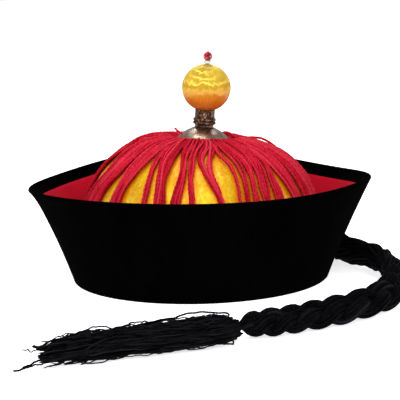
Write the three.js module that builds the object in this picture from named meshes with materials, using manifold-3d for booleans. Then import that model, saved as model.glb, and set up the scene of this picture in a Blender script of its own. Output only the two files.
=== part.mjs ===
// A mandarin hat: an upturned velvet brim round a satin crown, a fringe of yarn that falls from
// the crown's top, a wound ball on a metal cap and tube, and a plaited yarn braid with a tassel.
// Millimetres, +Z up. The origin is the middle of the bottom opening, on the surface that the
// hat rests on. -Y is the front of the hat and +X is the wearer's left.
import * as THREE from "three";
import { mergeVertices } from "three/addons/utils/BufferGeometryUtils.js";
import Module from "manifold-3d";

const wasm = await Module();
wasm.setup();

const CLEARANCE = 0.3; // between pieces that touch
const TURN = 2 * Math.PI;

// Brim
const BAND_RADIUS = 97; // outside of the bottom edge
const RIM_RADIUS = 131; // outside of the folded top edge
const RIM_HEIGHT = 75.4; // mean height of the top edge
const FLARE = 0.14; // how much the wall bends outwards on its way up
const SAG = 3.7; // how far the wall falls in between its edges on the -X side
const BRIM_WALL = 2.4;
const FOLD_WALL = 3.9; // where the velvet is turned over the top edge
const FOLD_DEPTH = 10; // how far the turned velvet reaches down inside
const LIP_RADIUS = 90.6; // the bottom hem, which carries the crown
const LIP_HEIGHT = 2.5;
const EDGE_ROUND = 0.8;
const BRIM_SEGMENTS = 38;
// How the top edge rises and dips round the hat, by the number of waves in a turn.
const RIM_WAVES = [
  { waves: 1, cosine: 0.8, sine: 0.3 },
  { waves: 2, cosine: -3.0, sine: -1.2 },
  { waves: 3, cosine: 0.8, sine: -2.6 },
  { waves: 4, cosine: 0.7, sine: 0 },
];

// Red lining of the brim's inner face
const LINING_WALL = 1;
const LINING_BOTTOM = 5;

// Crown
const CROWN_RADIUS = 92.7;
const CROWN_HEIGHT = 105.5; // before the button pulls the top down
const CROWN_WALL = 2;
const CROWN_POWER = 2.8; // 2 is an ellipse, and more is squarer
const DIMPLE = 10; // how far the button pulls the top down
const DIMPLE_RADIUS = 26;
const EYELET_RADIUS = 1.5;
const CROWN_RINGS = 9;
const CROWN_INNER_RINGS = 7;
const CROWN_SEGMENTS = 36;
const TOP_SHIFT = 3.7; // the top stands this far to +X
const LEAN_HEIGHT = 92; // where the crown has come that far over
const TOP_SLOPE = 0.0005; // how much lower the crown's top gets for each millimetre to +X

// Finial: each height is above the surface that the hat rests on, before the finial is tilted
const FINIAL_TILT = 4.4; // degrees to +X
const TILT_HEIGHT = 95; // the height of the point that it tilts about, in the crown's eyelet
const PIN_RADIUS = 0.7;
const PIN_HEAD_RADIUS = 1.5;
const PIN_HEAD_HEIGHT = 0.6;
const PIN_FOOT_RADIUS = 5;
const PIN_FOOT_HEIGHT = 1;
const BORE_RADIUS = PIN_RADIUS + CLEARANCE;
const CAP_RADIUS = 19.4;
const CAP_RIM_HEIGHT = 104.3;
const CAP_TOP_HEIGHT = 113.2;
const CAP_TOP_RADIUS = 7.6;
const CAP_WALL = 0.8;
const TUBE_RADIUS = 7.8;
const TUBE_BORE = 5.6;
const COLLAR_RADIUS = 8.5;
const COLLAR_BOTTOM = 115.6;
const COLLAR_TOP = 119.7;
const NECK_RADIUS = 7.1;
const BALL_RADIUS = 18;
const BALL_HEIGHT = 142.3; // its centre
const CLEAR_BEAD_RADIUS = 2.7;
const CLEAR_BEAD_LENGTH = 2.2;
const RED_BEAD_RADIUS = 3.45;
const RED_BEAD_LENGTH = 6.3;
const RED_BEAD_FACETS = 8;

// Fringe of yarn: a thick head round the pin, and locks that leave it and hang down the crown
const YARN = 2.8;
const LOCK_YARNS = 5; // a wider bundle is made of several locks
const LOCK_STEPS = 8;
const LOCK_THICKNESS = 2.8;
const LOCK_TOP_SHARE = 0.72; // of its width that is left at its outer face
const LOCK_STAND = 0.8; // its gap to the crown
const LOCK_START_RADIUS = 29;
const LOCK_END_HEIGHT = 24;
const HIGH_RADIUS = 36; // where the bundle's high angle is taken
const MID_RADIUS = 66; // where its mid angle is taken
const LOW_RADIUS = 83; // where its low angle is taken
const SHOULDER_RADIUS = 30; // where the yarn stands highest off the crown
const SHOULDER_SPREAD = 13;
const HEAD_SEGMENTS = 28;
// The head's outer face: its height over the crown at each radius.
const HEAD_RISE = [
  { radius: 4, rise: 2.4 },
  { radius: 19, rise: 3.1 },
  { radius: 21.5, rise: 5 },
  { radius: 25, rise: 7.2 },
  { radius: 30, rise: 7 },
  { radius: 36, rise: 4 },
];
// Each bundle of yarns: its angle in degrees (-90 is the front) high up, at mid height and
// where it goes behind the brim, its number of yarns, and how far its shoulder stands up.
const BUNDLES = [
  { high: -174, mid: -177, low: -173, yarns: 5, lift: 3 },
  { high: -158, mid: -156, low: -156, yarns: 10, lift: 3 },
  { high: -134, mid: -134, low: -135, yarns: 5, lift: 3 },
  { high: -119, mid: -120, low: -119, yarns: 2, lift: 2.5 },
  { high: -108, mid: -112, low: -112, yarns: 3, lift: 2.5 },
  { high: -97, mid: -100, low: -104, yarns: 3, lift: 2.5 },
  { high: -95, mid: -96, low: -95, yarns: 3, lift: 2.5 },
  { high: -92, mid: -87, low: -82, yarns: 3, lift: 2.5 },
  { high: -66, mid: -63, low: -61, yarns: 10, lift: 2 },
  { high: -40, mid: -38, low: -38, yarns: 6, lift: 1.5 },
  { high: -19, mid: -20, low: -20, yarns: 9, lift: 1 },
  { high: 0, mid: 1, low: 0, yarns: 10, lift: 1 },
  { high: 22, mid: 23, low: 24, yarns: 8, lift: 1 },
  { high: 43, mid: 44, low: 46, yarns: 6, lift: 1.5 },
  { high: 62, mid: 61, low: 61, yarns: 4, lift: 1.5 },
  { high: 78, mid: 77, low: 78, yarns: 7, lift: 2 },
  { high: 98, mid: 97, low: 97, yarns: 5, lift: 2.5 },
  { high: 113, mid: 115, low: 114, yarns: 6, lift: 2.5 },
  { high: 131, mid: 132, low: 133, yarns: 5, lift: 3 },
  { high: 147, mid: 148, low: 149, yarns: 7, lift: 3 },
  { high: 166, mid: 168, low: 169, yarns: 8, lift: 3 },
];

// Braid: three strands plaited along a route on the resting surface, as [x, y]
const BRAID_ROUTE = [
  [2, 109],
  [16, 117],
  [34, 122],
  [53, 120],
  [72, 109],
  [88, 90],
  [99, 67],
  [106, 43],
  [111.5, 22],
  [119, 8],
  [127, -3],
  [133.5, -16],
  [138, -35],
  [139.5, -59],
  [137.5, -85],
  [131.5, -109],
  [121.5, -130.5],
  [108, -147],
  [93, -160],
  [77, -170.5],
  [62, -179],
  [47, -185.5],
  [34, -190],
  [23, -193.5],
];
// Each strand goes to and fro across the braid, and its turns show as lobes along the edges.
const LOBE_AT_TIE = 11; // length of a lobe at the tie
const LOBE_GROWTH = 0.13; // for each millimetre from the tie
const LOBE_LONGEST = 24.5;
const LOBES_PER_PLAIT = 3;
const STEPS_PER_LOBE = 5;
const PLAIT_PHASE = 0.1; // where the first lobe stands, in plaits
const BRAID_SIDES = 10;
const ROOT_SIZE = 1.18; // how thick it is at the hat, where 1 is at the tie
const STRAND_WIDE = 5.1; // half sizes of a strand
const STRAND_THICK = 5.2;
const PLAIT_WIDE = 5; // how far a strand swings across
const PLAIT_THICK = 2.3; // how far it swings over and under
const ROLL_AT_ROOT = 75; // how far the plait stands on its edge, in degrees
const ROLL_AT_TIE = 14;
const ROOT_LENGTH = 20; // where the strands draw together at the hat
const NECK_LENGTH = 12; // where they draw together at the tie
const ROOT_SHARE = 0.5; // of their spread that is left there
const NECK_SHARE = 0.3;
const CORE_RADIUS = 3; // the round core inside the tie
const CORE_OVERLAP = 4;

// Tie and tassel
const TIE_LENGTH = 5;
const TIE_RADIUS = 4.6;
const TIE_GROOVE_RADIUS = 4.1;
const TIE_TURNS = 2;
const TASSEL_START = 3.6; // its bulb's distance from the tie
const TASSEL_ROUTE = [
  [11, -203, 9.7],
  [0, -210, 10],
  [-15, -216, 10],
  [-33, -221, 10],
  [-51, -226.5, 9.8],
  [-68, -234, 9.3],
  [-84, -240, 8.4],
  [-94, -242, 7.4],
];
const TASSEL_SIDES = 5;
// How far the locks stand apart and how thick they are along the tassel.
const TASSEL_ROWS = [
  { share: 0, open: 0.3, size: 0.45 },
  { share: 0.045, open: 0.8, size: 0.9 },
  { share: 0.12, open: 1, size: 1 },
  { share: 0.4, open: 1.05, size: 1 },
  { share: 0.7, open: 1.1, size: 0.95 },
  { share: 0.88, open: 1, size: 0.8 },
  { share: 1, open: 0.85, size: 0.5 },
];
// Each lock of the tassel: where it lies round the middle line, its size, and its length share.
const TASSEL_LOCKS = [
  { side: 0, up: 0, radius: 5, length: 1 },
  { side: 7.4, up: -4.1, radius: 4.6, length: 0.97 },
  { side: -7.6, up: -3.9, radius: 4.6, length: 0.94 },
  { side: 5.4, up: 4, radius: 4.4, length: 0.91 },
  { side: -5, up: 4.2, radius: 4.4, length: 0.96 },
  { side: 0.4, up: -4.6, radius: 4.4, length: 0.99 },
];

// Materials, as the photograph shows them
const velvet = new THREE.MeshStandardMaterial({ color: 0x070707, roughness: 0.95 });
const felt = new THREE.MeshStandardMaterial({ color: 0xad1327, roughness: 0.9 });
const satin = new THREE.MeshStandardMaterial({ color: 0xeab221, roughness: 0.4 });
const redYarn = new THREE.MeshStandardMaterial({ color: 0xcc213b, roughness: 0.85 });
const silver = new THREE.MeshStandardMaterial({ color: 0xa39a8c, roughness: 0.35, metalness: 1 });
const bronze = new THREE.MeshStandardMaterial({ color: 0x5a3f2c, roughness: 0.45, metalness: 0.9 });
const silk = new THREE.MeshStandardMaterial({ color: 0xe6b62c, roughness: 0.35 });
const clearGlass = new THREE.MeshStandardMaterial({ color: 0xe4e4e4, roughness: 0.1 });
const redGlass = new THREE.MeshStandardMaterial({ color: 0xb5102a, roughness: 0.1 });
const blackYarn = new THREE.MeshStandardMaterial({ color: 0x0d0d10, roughness: 0.9 });

const degrees = THREE.MathUtils.degToRad;
const clamp = THREE.MathUtils.clamp;
const mix = THREE.MathUtils.lerp;

function named(name, geometry, material) {
  const mesh = new THREE.Mesh(geometry, material);
  mesh.name = name;
  return mesh;
}

// A closed grid of points as a mesh: rows[i][j] are Vector3s, and each row is a closed ring.
// A tube's rows end in flat caps, and a ring's rows join up again.
function skin(rows, joinsUp) {
  const across = rows[0].length;
  const positions = rows.flat().flatMap((p) => [p.x, p.y, p.z]);
  const faces = [];
  const last = joinsUp ? rows.length : rows.length - 1;
  for (let i = 0; i < last; i++) {
    const next = (i + 1) % rows.length;
    for (let j = 0; j < across; j++) {
      const side = (j + 1) % across;
      const a = i * across + j;
      const b = i * across + side;
      const c = next * across + side;
      const d = next * across + j;
      faces.push(a, b, c, a, c, d);
    }
  }
  if (!joinsUp) {
    const end = (rows.length - 1) * across;
    for (let j = 1; j < across - 1; j++) {
      faces.push(0, j + 1, j, end, end + j, end + j + 1);
    }
  }
  const geometry = new THREE.BufferGeometry();
  geometry.setAttribute("position", new THREE.Float32BufferAttribute(positions, 3));
  geometry.setIndex(faces);
  return geometry;
}

// A ring whose section at each angle round Z is profileAt(angle), a list of [radius, height].
function ring(profileAt, segments, moved = (point) => point) {
  const rows = [];
  for (let i = 0; i < segments; i++) {
    const angle = (-i / segments) * TURN;
    rows.push(
      profileAt(angle).map(([r, z]) =>
        moved(new THREE.Vector3(r * Math.cos(angle), r * Math.sin(angle), z)),
      ),
    );
  }
  return skin(rows, true);
}

// The crown and its fringe lean to +X: their top is off the middle and slopes down that way.
function leaned(point) {
  point.x += TOP_SHIFT * Math.min(1, point.z / LEAN_HEIGHT) ** 2;
  point.z *= 1 - TOP_SLOPE * point.x;
  return point;
}

function solid(geometry) {
  const bare = geometry.clone();
  bare.deleteAttribute("normal");
  bare.deleteAttribute("uv");
  const merged = mergeVertices(bare, 1e-4);
  return new wasm.Manifold(
    new wasm.Mesh({
      numProp: 3,
      vertProperties: new Float32Array(merged.attributes.position.array),
      triVerts: new Uint32Array(merged.index.array),
    }),
  );
}

// One solid from several that overlap, without the small pockets that they close in.
function fuse(geometries) {
  const whole = geometries.map(solid).reduce((a, b) => a.add(b));
  const outside = whole.decompose().reduce((a, b) => (a.volume() > b.volume() ? a : b));
  const mesh = outside.getMesh();
  const geometry = new THREE.BufferGeometry();
  geometry.setAttribute("position", new THREE.BufferAttribute(mesh.vertProperties, 3));
  geometry.setIndex(new THREE.BufferAttribute(mesh.triVerts, 1));
  return geometry;
}

function rimHeight(angle) {
  return RIM_WAVES.reduce(
    (sum, w) => sum + w.cosine * Math.cos(w.waves * angle) + w.sine * Math.sin(w.waves * angle),
    RIM_HEIGHT,
  );
}

// The outside radius of the brim at a share of its height, at an angle round it.
function brimRadius(share, angle) {
  const sag = SAG * share ** 0.9 * (1 - share ** 14) * Math.max(0, -Math.cos(angle)) ** 2;
  return mix(BAND_RADIUS, RIM_RADIUS, share * (1 - FLARE) + FLARE * share * share) - sag;
}

function brimProfile(angle) {
  const top = rimHeight(angle);
  const round = FOLD_WALL / 2;
  const outer = (z) => [brimRadius(z / top, angle), z];
  const inner = (z, wall) => [brimRadius(z / top, angle) - wall, z];
  const foldMiddle = brimRadius(1 - round / top, angle) - round;
  const fold = [45, 90, 135].map((a) => [
    foldMiddle + round * Math.cos(degrees(a)),
    top - round + round * Math.sin(degrees(a)),
  ]);
  return [
    [LIP_RADIUS, EDGE_ROUND],
    [LIP_RADIUS + EDGE_ROUND, 0],
    [BAND_RADIUS - EDGE_ROUND, 0],
    outer(EDGE_ROUND),
    outer(top * 0.35),
    outer(top * 0.65),
    outer(top * 0.87),
    outer(top - round),
    ...fold,
    inner(top - round, FOLD_WALL),
    inner(top - FOLD_DEPTH, FOLD_WALL),
    inner(top - FOLD_DEPTH, BRIM_WALL),
    inner(top * 0.4, BRIM_WALL),
    inner(LIP_HEIGHT, BRIM_WALL),
    [LIP_RADIUS, LIP_HEIGHT],
  ];
}

function liningProfile(angle) {
  const top = rimHeight(angle);
  const heights = [LINING_BOTTOM, top * 0.4, top - FOLD_DEPTH - CLEARANCE];
  const back = BRIM_WALL + CLEARANCE;
  return [
    ...heights.map((z) => [brimRadius(z / top, angle) - back, z]),
    ...heights.reverse().map((z) => [brimRadius(z / top, angle) - back - LINING_WALL, z]),
  ];
}

// A point of the crown's outline, by its share of the way from the bottom edge to the eyelet.
function crownPoint(share, inset) {
  const bottom = LIP_HEIGHT + CLEARANCE;
  const radius = CROWN_RADIUS - inset;
  const height = CROWN_HEIGHT - inset;
  const start = Math.asin((bottom / height) ** (CROWN_POWER / 2));
  const end = Math.acos((EYELET_RADIUS / radius) ** (CROWN_POWER / 2));
  const a = mix(start, end, share);
  const r = radius * Math.cos(a) ** (2 / CROWN_POWER);
  const z = height * Math.sin(a) ** (2 / CROWN_POWER);
  return [r, z - DIMPLE * Math.exp(-((r / DIMPLE_RADIUS) ** 2))];
}

const shares = (count) => Array.from({ length: count + 1 }, (_, i) => i / count);
const crownProfile = [
  ...shares(CROWN_RINGS).map((share) => crownPoint(share, 0)),
  ...shares(CROWN_INNER_RINGS).map((share) => crownPoint(1 - share, CROWN_WALL)),
];

// The crown's outline from the eyelet outwards, with the distance walked along it, and a
// measure of progress that runs faster where the outline bends.
const crownLine = [];
for (let i = 0; i <= 200; i++) {
  const [r, z] = crownPoint(1 - i / 200, 0);
  const before = crownLine[i - 1];
  const step = before ? Math.hypot(r - before.r, z - before.z) : 0;
  const slope = before ? Math.atan2(before.z - z, r - before.r) : 0;
  crownLine.push({
    r,
    z,
    slope,
    length: before ? before.length + step : 0,
    progress: before ? before.progress + step / 60 + Math.abs(slope - before.slope) : 0,
  });
}

// The point of the crown's outline where a column of that line reaches a value.
function crownWhere(column, value) {
  const i = clamp(
    crownLine.findIndex((p) => p[column] >= value),
    1,
    crownLine.length - 1,
  );
  const [a, b] = [crownLine[i - 1], crownLine[i]];
  const t = clamp((value - a[column]) / (b[column] - a[column]), 0, 1);
  return Object.fromEntries(Object.keys(a).map((key) => [key, mix(a[key], b[key], t)]));
}

// The frames of a route: at each share of it the place, its side and its own upward direction.
function framesOf(points) {
  const curve = new THREE.CatmullRomCurve3(points, false, "centripetal");
  const up = new THREE.Vector3(0, 0, 1);
  const frameAt = (share) => {
    const along = curve.getTangentAt(share);
    const side = new THREE.Vector3().crossVectors(along, up).normalize();
    return {
      place: curve.getPointAt(share),
      along,
      side,
      up: new THREE.Vector3().crossVectors(side, along),
    };
  };
  return { frameAt, length: curve.getLength() };
}

// A closed ring of points round a place: an ellipse with half sizes wide and thick.
function ellipse(place, side, up, wide, thick, sides, turned = 0) {
  return Array.from({ length: sides }, (_, j) => {
    const a = (-j / sides) * TURN + turned;
    return place
      .clone()
      .addScaledVector(side, wide * Math.cos(a))
      .addScaledVector(up, thick * Math.sin(a));
  });
}

function brim() {
  return named("brim", ring(brimProfile, BRIM_SEGMENTS), velvet);
}

function brimLining() {
  return named("brim_lining", ring(liningProfile, BRIM_SEGMENTS), felt);
}

function crown() {
  return named("crown", ring(() => crownProfile, CROWN_SEGMENTS, leaned), satin);
}

// A bundle's angle in degrees at a radius of the crown.
function bundleAngle({ high, mid, low }, r) {
  return r < MID_RADIUS
    ? mix(high, mid, clamp((r - HIGH_RADIUS) / (MID_RADIUS - HIGH_RADIUS), 0, 1))
    : mix(mid, low, clamp((r - MID_RADIUS) / (LOW_RADIUS - MID_RADIUS), 0, 1));
}

// One lock of yarn from the head, over the shoulder and down the crown, as a flattened tube.
function lock(bundle, offset, yarns) {
  const from = crownWhere("r", LOCK_START_RADIUS).progress;
  const to = crownLine.find((p) => p.r > MID_RADIUS && p.z < LOCK_END_HEIGHT).progress;
  const rows = [];
  for (let i = 0; i <= LOCK_STEPS; i++) {
    const { r, z, slope } = crownWhere("progress", mix(from, to, i / LOCK_STEPS));
    const fan = Math.min(1, 0.2 + (0.8 * r) / MID_RADIUS);
    const angle = degrees(bundleAngle(bundle, r)) + (offset * YARN * fan) / r;
    const radial = new THREE.Vector3(Math.cos(angle), Math.sin(angle), 0);
    const side = new THREE.Vector3(-Math.sin(angle), Math.cos(angle), 0);
    const out = radial.clone().multiplyScalar(Math.sin(slope));
    out.z = Math.cos(slope);
    const rise = bundle.lift * Math.exp(-(((r - SHOULDER_RADIUS) / SHOULDER_SPREAD) ** 2));
    const place = radial.clone().multiplyScalar(r);
    place.z = z;
    const halfWidth = (yarns * YARN * fan) / 2;
    rows.push(
      [
        [-halfWidth, LOCK_STAND],
        [halfWidth, LOCK_STAND],
        [halfWidth * LOCK_TOP_SHARE, LOCK_STAND + LOCK_THICKNESS],
        [-halfWidth * LOCK_TOP_SHARE, LOCK_STAND + LOCK_THICKNESS],
      ].map(([across, up]) =>
        leaned(
          place
            .clone()
            .addScaledVector(side, across)
            .addScaledVector(out, up + rise),
        ),
      ),
    );
  }
  return skin(rows, false);
}

function fringe() {
  const under = HEAD_RISE.map(({ radius }) => [radius, crownWhere("r", radius).z + LOCK_STAND]);
  const over = HEAD_RISE.map(({ radius, rise }, i) => [radius, under[i][1] - LOCK_STAND + rise]);
  const headProfile = [...under, ...over.reverse()];
  const head = ring(() => headProfile, HEAD_SEGMENTS, leaned);
  const locks = BUNDLES.flatMap((bundle) => {
    const count = Math.ceil(bundle.yarns / LOCK_YARNS);
    const yarns = bundle.yarns / count;
    return Array.from({ length: count }, (_, i) =>
      lock(bundle, (i - (count - 1) / 2) * yarns, yarns),
    );
  });
  return named("fringe", fuse([head, ...locks]), redYarn);
}

// A turned piece on the finial's axis. The profile is a closed list of [radius, height].
function turned(name, profile, segments, material) {
  const points = profile.map(([r, z]) => new THREE.Vector2(r, z - TILT_HEIGHT));
  points.push(points[0].clone());
  const geometry = new THREE.LatheGeometry(points, segments);
  geometry.rotateX(Math.PI / 2);
  geometry.rotateY(degrees(FINIAL_TILT));
  geometry.translate(TOP_SHIFT, 0, TILT_HEIGHT);
  return named(name, geometry, material);
}

function finialCap() {
  const bend = (share) => Math.sin((share * Math.PI) / 2);
  const drop = CAP_TOP_HEIGHT - CAP_RIM_HEIGHT;
  const outer = shares(3).map((s) => [
    mix(CAP_TOP_RADIUS, CAP_RADIUS, bend(s) * 0.25 + s * 0.75),
    CAP_TOP_HEIGHT - drop * (s * 0.8 + s * s * 0.2),
  ]);
  const inner = outer.map(([r, z]) => [r - CAP_WALL * 0.7, z - CAP_WALL * 0.9]).reverse();
  const profile = [
    [BORE_RADIUS, CAP_TOP_HEIGHT],
    ...outer,
    ...inner,
    [BORE_RADIUS, CAP_TOP_HEIGHT - CAP_WALL],
  ];
  return turned("finial_cap", profile.reverse(), 26, silver);
}

// The height of the ball's seat at a radius, clear of the ball.
function seat(radius) {
  return BALL_HEIGHT - Math.sqrt((BALL_RADIUS + CLEARANCE) ** 2 - radius ** 2);
}

function finialTube() {
  const bottom = CAP_TOP_HEIGHT + CLEARANCE;
  const middle = (COLLAR_BOTTOM + COLLAR_TOP) / 2;
  const mouth = TUBE_RADIUS - 1;
  return turned(
    "finial_tube",
    [
      [TUBE_BORE, bottom],
      [TUBE_BORE, seat(mouth) - 1.5],
      [mouth, seat(mouth)],
      [TUBE_RADIUS, seat(TUBE_RADIUS)],
      [TUBE_RADIUS, COLLAR_TOP + 0.4],
      [COLLAR_RADIUS, COLLAR_TOP - 0.5],
      [COLLAR_RADIUS - 0.5, middle],
      [COLLAR_RADIUS, COLLAR_BOTTOM + 0.5],
      [NECK_RADIUS, COLLAR_BOTTOM - 0.2],
      [NECK_RADIUS, bottom],
    ].reverse(),
    20,
    bronze,
  );
}

// A drilled ball, as the profile of a bead round its bore.
function beadProfile(radius, halfLength, centre, rows) {
  const edge = Math.asin(BORE_RADIUS / radius);
  const arc = Array.from({ length: rows + 1 }, (_, i) => {
    const a = mix(edge, Math.PI - edge, i / rows);
    return [radius * Math.sin(a), centre + halfLength * Math.cos(a)];
  });
  return arc.reverse().map(([r, z]) => [Math.max(r, BORE_RADIUS), z]);
}

function finialBall() {
  return turned("finial_ball", beadProfile(BALL_RADIUS, BALL_RADIUS, BALL_HEIGHT, 10), 20, silk);
}

const clearBeadHeight = BALL_HEIGHT + BALL_RADIUS + CLEARANCE + CLEAR_BEAD_LENGTH / 2;
const redBeadHeight = clearBeadHeight + CLEAR_BEAD_LENGTH / 2 + CLEARANCE + RED_BEAD_LENGTH / 2;

function clearBead() {
  const half = CLEAR_BEAD_LENGTH / 2;
  const profile = [
    [BORE_RADIUS, clearBeadHeight + half],
    [CLEAR_BEAD_RADIUS * 0.8, clearBeadHeight + half],
    [CLEAR_BEAD_RADIUS, clearBeadHeight],
    [CLEAR_BEAD_RADIUS * 0.8, clearBeadHeight - half],
    [BORE_RADIUS, clearBeadHeight - half],
  ];
  return turned("clear_bead", profile.reverse(), 10, clearGlass);
}

function redBead() {
  const half = RED_BEAD_LENGTH / 2;
  const facets = [
    { radius: 0.5, height: 1 },
    { radius: 0.84, height: 0.6 },
    { radius: 1, height: 0 },
    { radius: 0.84, height: -0.6 },
    { radius: 0.5, height: -1 },
  ];
  const profile = [
    [BORE_RADIUS, redBeadHeight + half],
    ...facets.map((f) => [RED_BEAD_RADIUS * f.radius, redBeadHeight + half * f.height]),
    [BORE_RADIUS, redBeadHeight - half],
  ];
  return turned("red_bead", profile.reverse(), RED_BEAD_FACETS, redGlass);
}

// The hidden pin: its head is on the red bead and its foot is under the crown's top.
function finialPin() {
  const [, crownTop] = crownPoint(1, CROWN_WALL);
  const foot = crownTop - 2 * CLEARANCE;
  const headBottom = redBeadHeight + RED_BEAD_LENGTH / 2 + CLEARANCE;
  const profile = [
    [0, headBottom + PIN_HEAD_HEIGHT],
    [PIN_HEAD_RADIUS * 0.7, headBottom + PIN_HEAD_HEIGHT],
    [PIN_HEAD_RADIUS, headBottom],
    [PIN_RADIUS, headBottom],
    [PIN_RADIUS, foot],
    [PIN_FOOT_RADIUS, foot],
    [PIN_FOOT_RADIUS, foot - PIN_FOOT_HEIGHT],
    [0, foot - PIN_FOOT_HEIGHT],
  ];
  return turned("finial_pin", profile.reverse(), 10, bronze);
}

const braidRoute = framesOf(BRAID_ROUTE.map(([x, y]) => new THREE.Vector3(x, y, 0)));

// The plait at a distance from the tie: its size, its roll and its middle line's height, which
// keeps its lowest strand on the resting surface.
function plaitAt(distance) {
  const share = 1 - clamp(distance / braidRoute.length, 0, 1);
  const size = mix(ROOT_SIZE, 1, share);
  const roll = degrees(mix(ROLL_AT_ROOT, ROLL_AT_TIE, share));
  const [sine, cosine] = [Math.sin(roll), Math.cos(roll)];
  const reach =
    PLAIT_WIDE * sine + PLAIT_THICK * cosine + Math.hypot(STRAND_WIDE * sine, STRAND_THICK * cosine);
  const fromRoot = Math.min(1, (share * braidRoute.length) / ROOT_LENGTH);
  const fromNeck = Math.min(1, distance / NECK_LENGTH);
  const gathered = Math.min(mix(ROOT_SHARE, 1, fromRoot), mix(NECK_SHARE, 1, fromNeck ** 0.7));
  return { share, size: size * gathered, sine, cosine, height: CLEARANCE + reach * size };
}

// The distance from the tie at which a number of lobes has been passed.
function distanceAtLobe(lobe) {
  const growing = Math.log(LOBE_LONGEST / LOBE_AT_TIE) / LOBE_GROWTH;
  const near = ((Math.exp(Math.min(lobe, growing) * LOBE_GROWTH) - 1) * LOBE_AT_TIE) / LOBE_GROWTH;
  return near + Math.max(0, lobe - growing) * LOBE_LONGEST;
}

// How far the outside of the three strands is from the braid's middle line, in a direction.
function plaitReach(plaits, direction) {
  const dx = Math.cos(direction) / STRAND_WIDE;
  const dy = Math.sin(direction) / STRAND_THICK;
  return Math.max(
    ...[0, 1, 2].map((index) => {
      const phase = TURN * (plaits + index / 3);
      const x = (PLAIT_WIDE * Math.sin(phase)) / STRAND_WIDE;
      const y = (PLAIT_THICK * Math.sin(2 * phase)) / STRAND_THICK;
      const a = dx * dx + dy * dy;
      const b = x * dx + y * dy;
      const c = x * x + y * y - 1;
      const inside = b * b - a * c;
      return inside < 0 ? 0 : (b + Math.sqrt(inside)) / a;
    }),
  );
}

function plait() {
  const rows = [];
  for (let step = 0; ; step++) {
    const lobe = step / STEPS_PER_LOBE;
    const distance = Math.min(distanceAtLobe(lobe), braidRoute.length);
    const { share, size, sine, cosine, height } = plaitAt(distance);
    const { place, side, up } = braidRoute.frameAt(share);
    place.z = height;
    const across = side.clone().multiplyScalar(cosine).addScaledVector(up, sine);
    const over = up.clone().multiplyScalar(cosine).addScaledVector(side, -sine);
    const row = Array.from({ length: BRAID_SIDES }, (_, j) => {
      const direction = (j / BRAID_SIDES) * TURN;
      const reach = plaitReach(PLAIT_PHASE - lobe / LOBES_PER_PLAIT, direction) * size;
      return place
        .clone()
        .addScaledVector(across, reach * Math.cos(direction))
        .addScaledVector(over, reach * Math.sin(direction));
    });
    rows.push(row);
    if (distance === braidRoute.length) return skin(rows, false);
  }
}

// A plain round core that the strands or locks draw down to inside the tie.
function core(from, to, radius) {
  const along = new THREE.Vector3().subVectors(to, from).normalize();
  const side = new THREE.Vector3().crossVectors(along, new THREE.Vector3(0, 0, 1)).normalize();
  const up = new THREE.Vector3().crossVectors(side, along);
  return skin(
    [from, to].map((p) => ellipse(p, side, up, radius, radius, 10)),
    false,
  );
}

const tieStart = braidRoute.frameAt(1);
tieStart.place.z = plaitAt(0).height;
const tieAt = (distance) => tieStart.place.clone().addScaledVector(tieStart.along, distance);

function braid() {
  const inside = core(tieAt(-CORE_OVERLAP), tieAt((TIE_LENGTH - CLEARANCE) / 2), CORE_RADIUS);
  return named("braid", fuse([plait(), inside]), blackYarn);
}

function braidTie() {
  const bore = CORE_RADIUS + CLEARANCE;
  const profile = [[bore, 0]];
  const turnLength = TIE_LENGTH / TIE_TURNS;
  for (let i = 0; i < TIE_TURNS; i++) {
    profile.push([TIE_GROOVE_RADIUS, turnLength * i]);
    profile.push([TIE_RADIUS, turnLength * (i + 0.3)]);
    profile.push([TIE_RADIUS, turnLength * (i + 0.7)]);
  }
  profile.push([TIE_GROOVE_RADIUS, TIE_LENGTH], [bore, TIE_LENGTH]);
  const points = [...profile, profile[0]].map(([r, z]) => new THREE.Vector2(r, z));
  const geometry = new THREE.LatheGeometry(points, 12);
  const turn = new THREE.Quaternion().setFromUnitVectors(new THREE.Vector3(0, 1, 0), tieStart.along);
  geometry.applyQuaternion(turn);
  geometry.translate(...tieStart.place.toArray());
  return named("braid_tie", geometry, blackYarn);
}

function tasselLock({ side, up, radius, length }, route) {
  const rows = TASSEL_ROWS.map((row) => {
    const frame = route.frameAt(row.share * length);
    const middle = frame.place
      .clone()
      .addScaledVector(frame.side, side * row.open)
      .addScaledVector(frame.up, up * row.open);
    const size = radius * row.size;
    return ellipse(middle, frame.side, frame.up, size, size, TASSEL_SIDES);
  });
  return skin(rows, false);
}

function tassel() {
  const start = tieAt((TIE_LENGTH + CLEARANCE) / 2);
  const first = tieAt(TIE_LENGTH + TASSEL_START);
  const route = framesOf([first, ...TASSEL_ROUTE.map((p) => new THREE.Vector3(...p))]);
  const head = core(start, tieAt(TIE_LENGTH + CORE_OVERLAP), CORE_RADIUS);
  const locks = TASSEL_LOCKS.map((shape) => tasselLock(shape, route));
  return named("tassel", fuse([head, ...locks]), blackYarn);
}

export default new THREE.Group().add(
  brim(),
  brimLining(),
  crown(),
  fringe(),
  finialCap(),
  finialTube(),
  finialBall(),
  clearBead(),
  redBead(),
  finialPin(),
  braid(),
  braidTie(),
  tassel(),
);
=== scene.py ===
# A mandarin hat: a velvet brim turned up round a satin crown, a fringe of twisted red yarn, a ball
# wound with silk on a metal cap and tube, and a plaited black braid that ends in a tassel.
# Lengths in this file are millimetres in the frame of the CAD model, and the meshes are metres.
import math

import bpy
import numpy as np
from mathutils import Matrix, Vector


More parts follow.
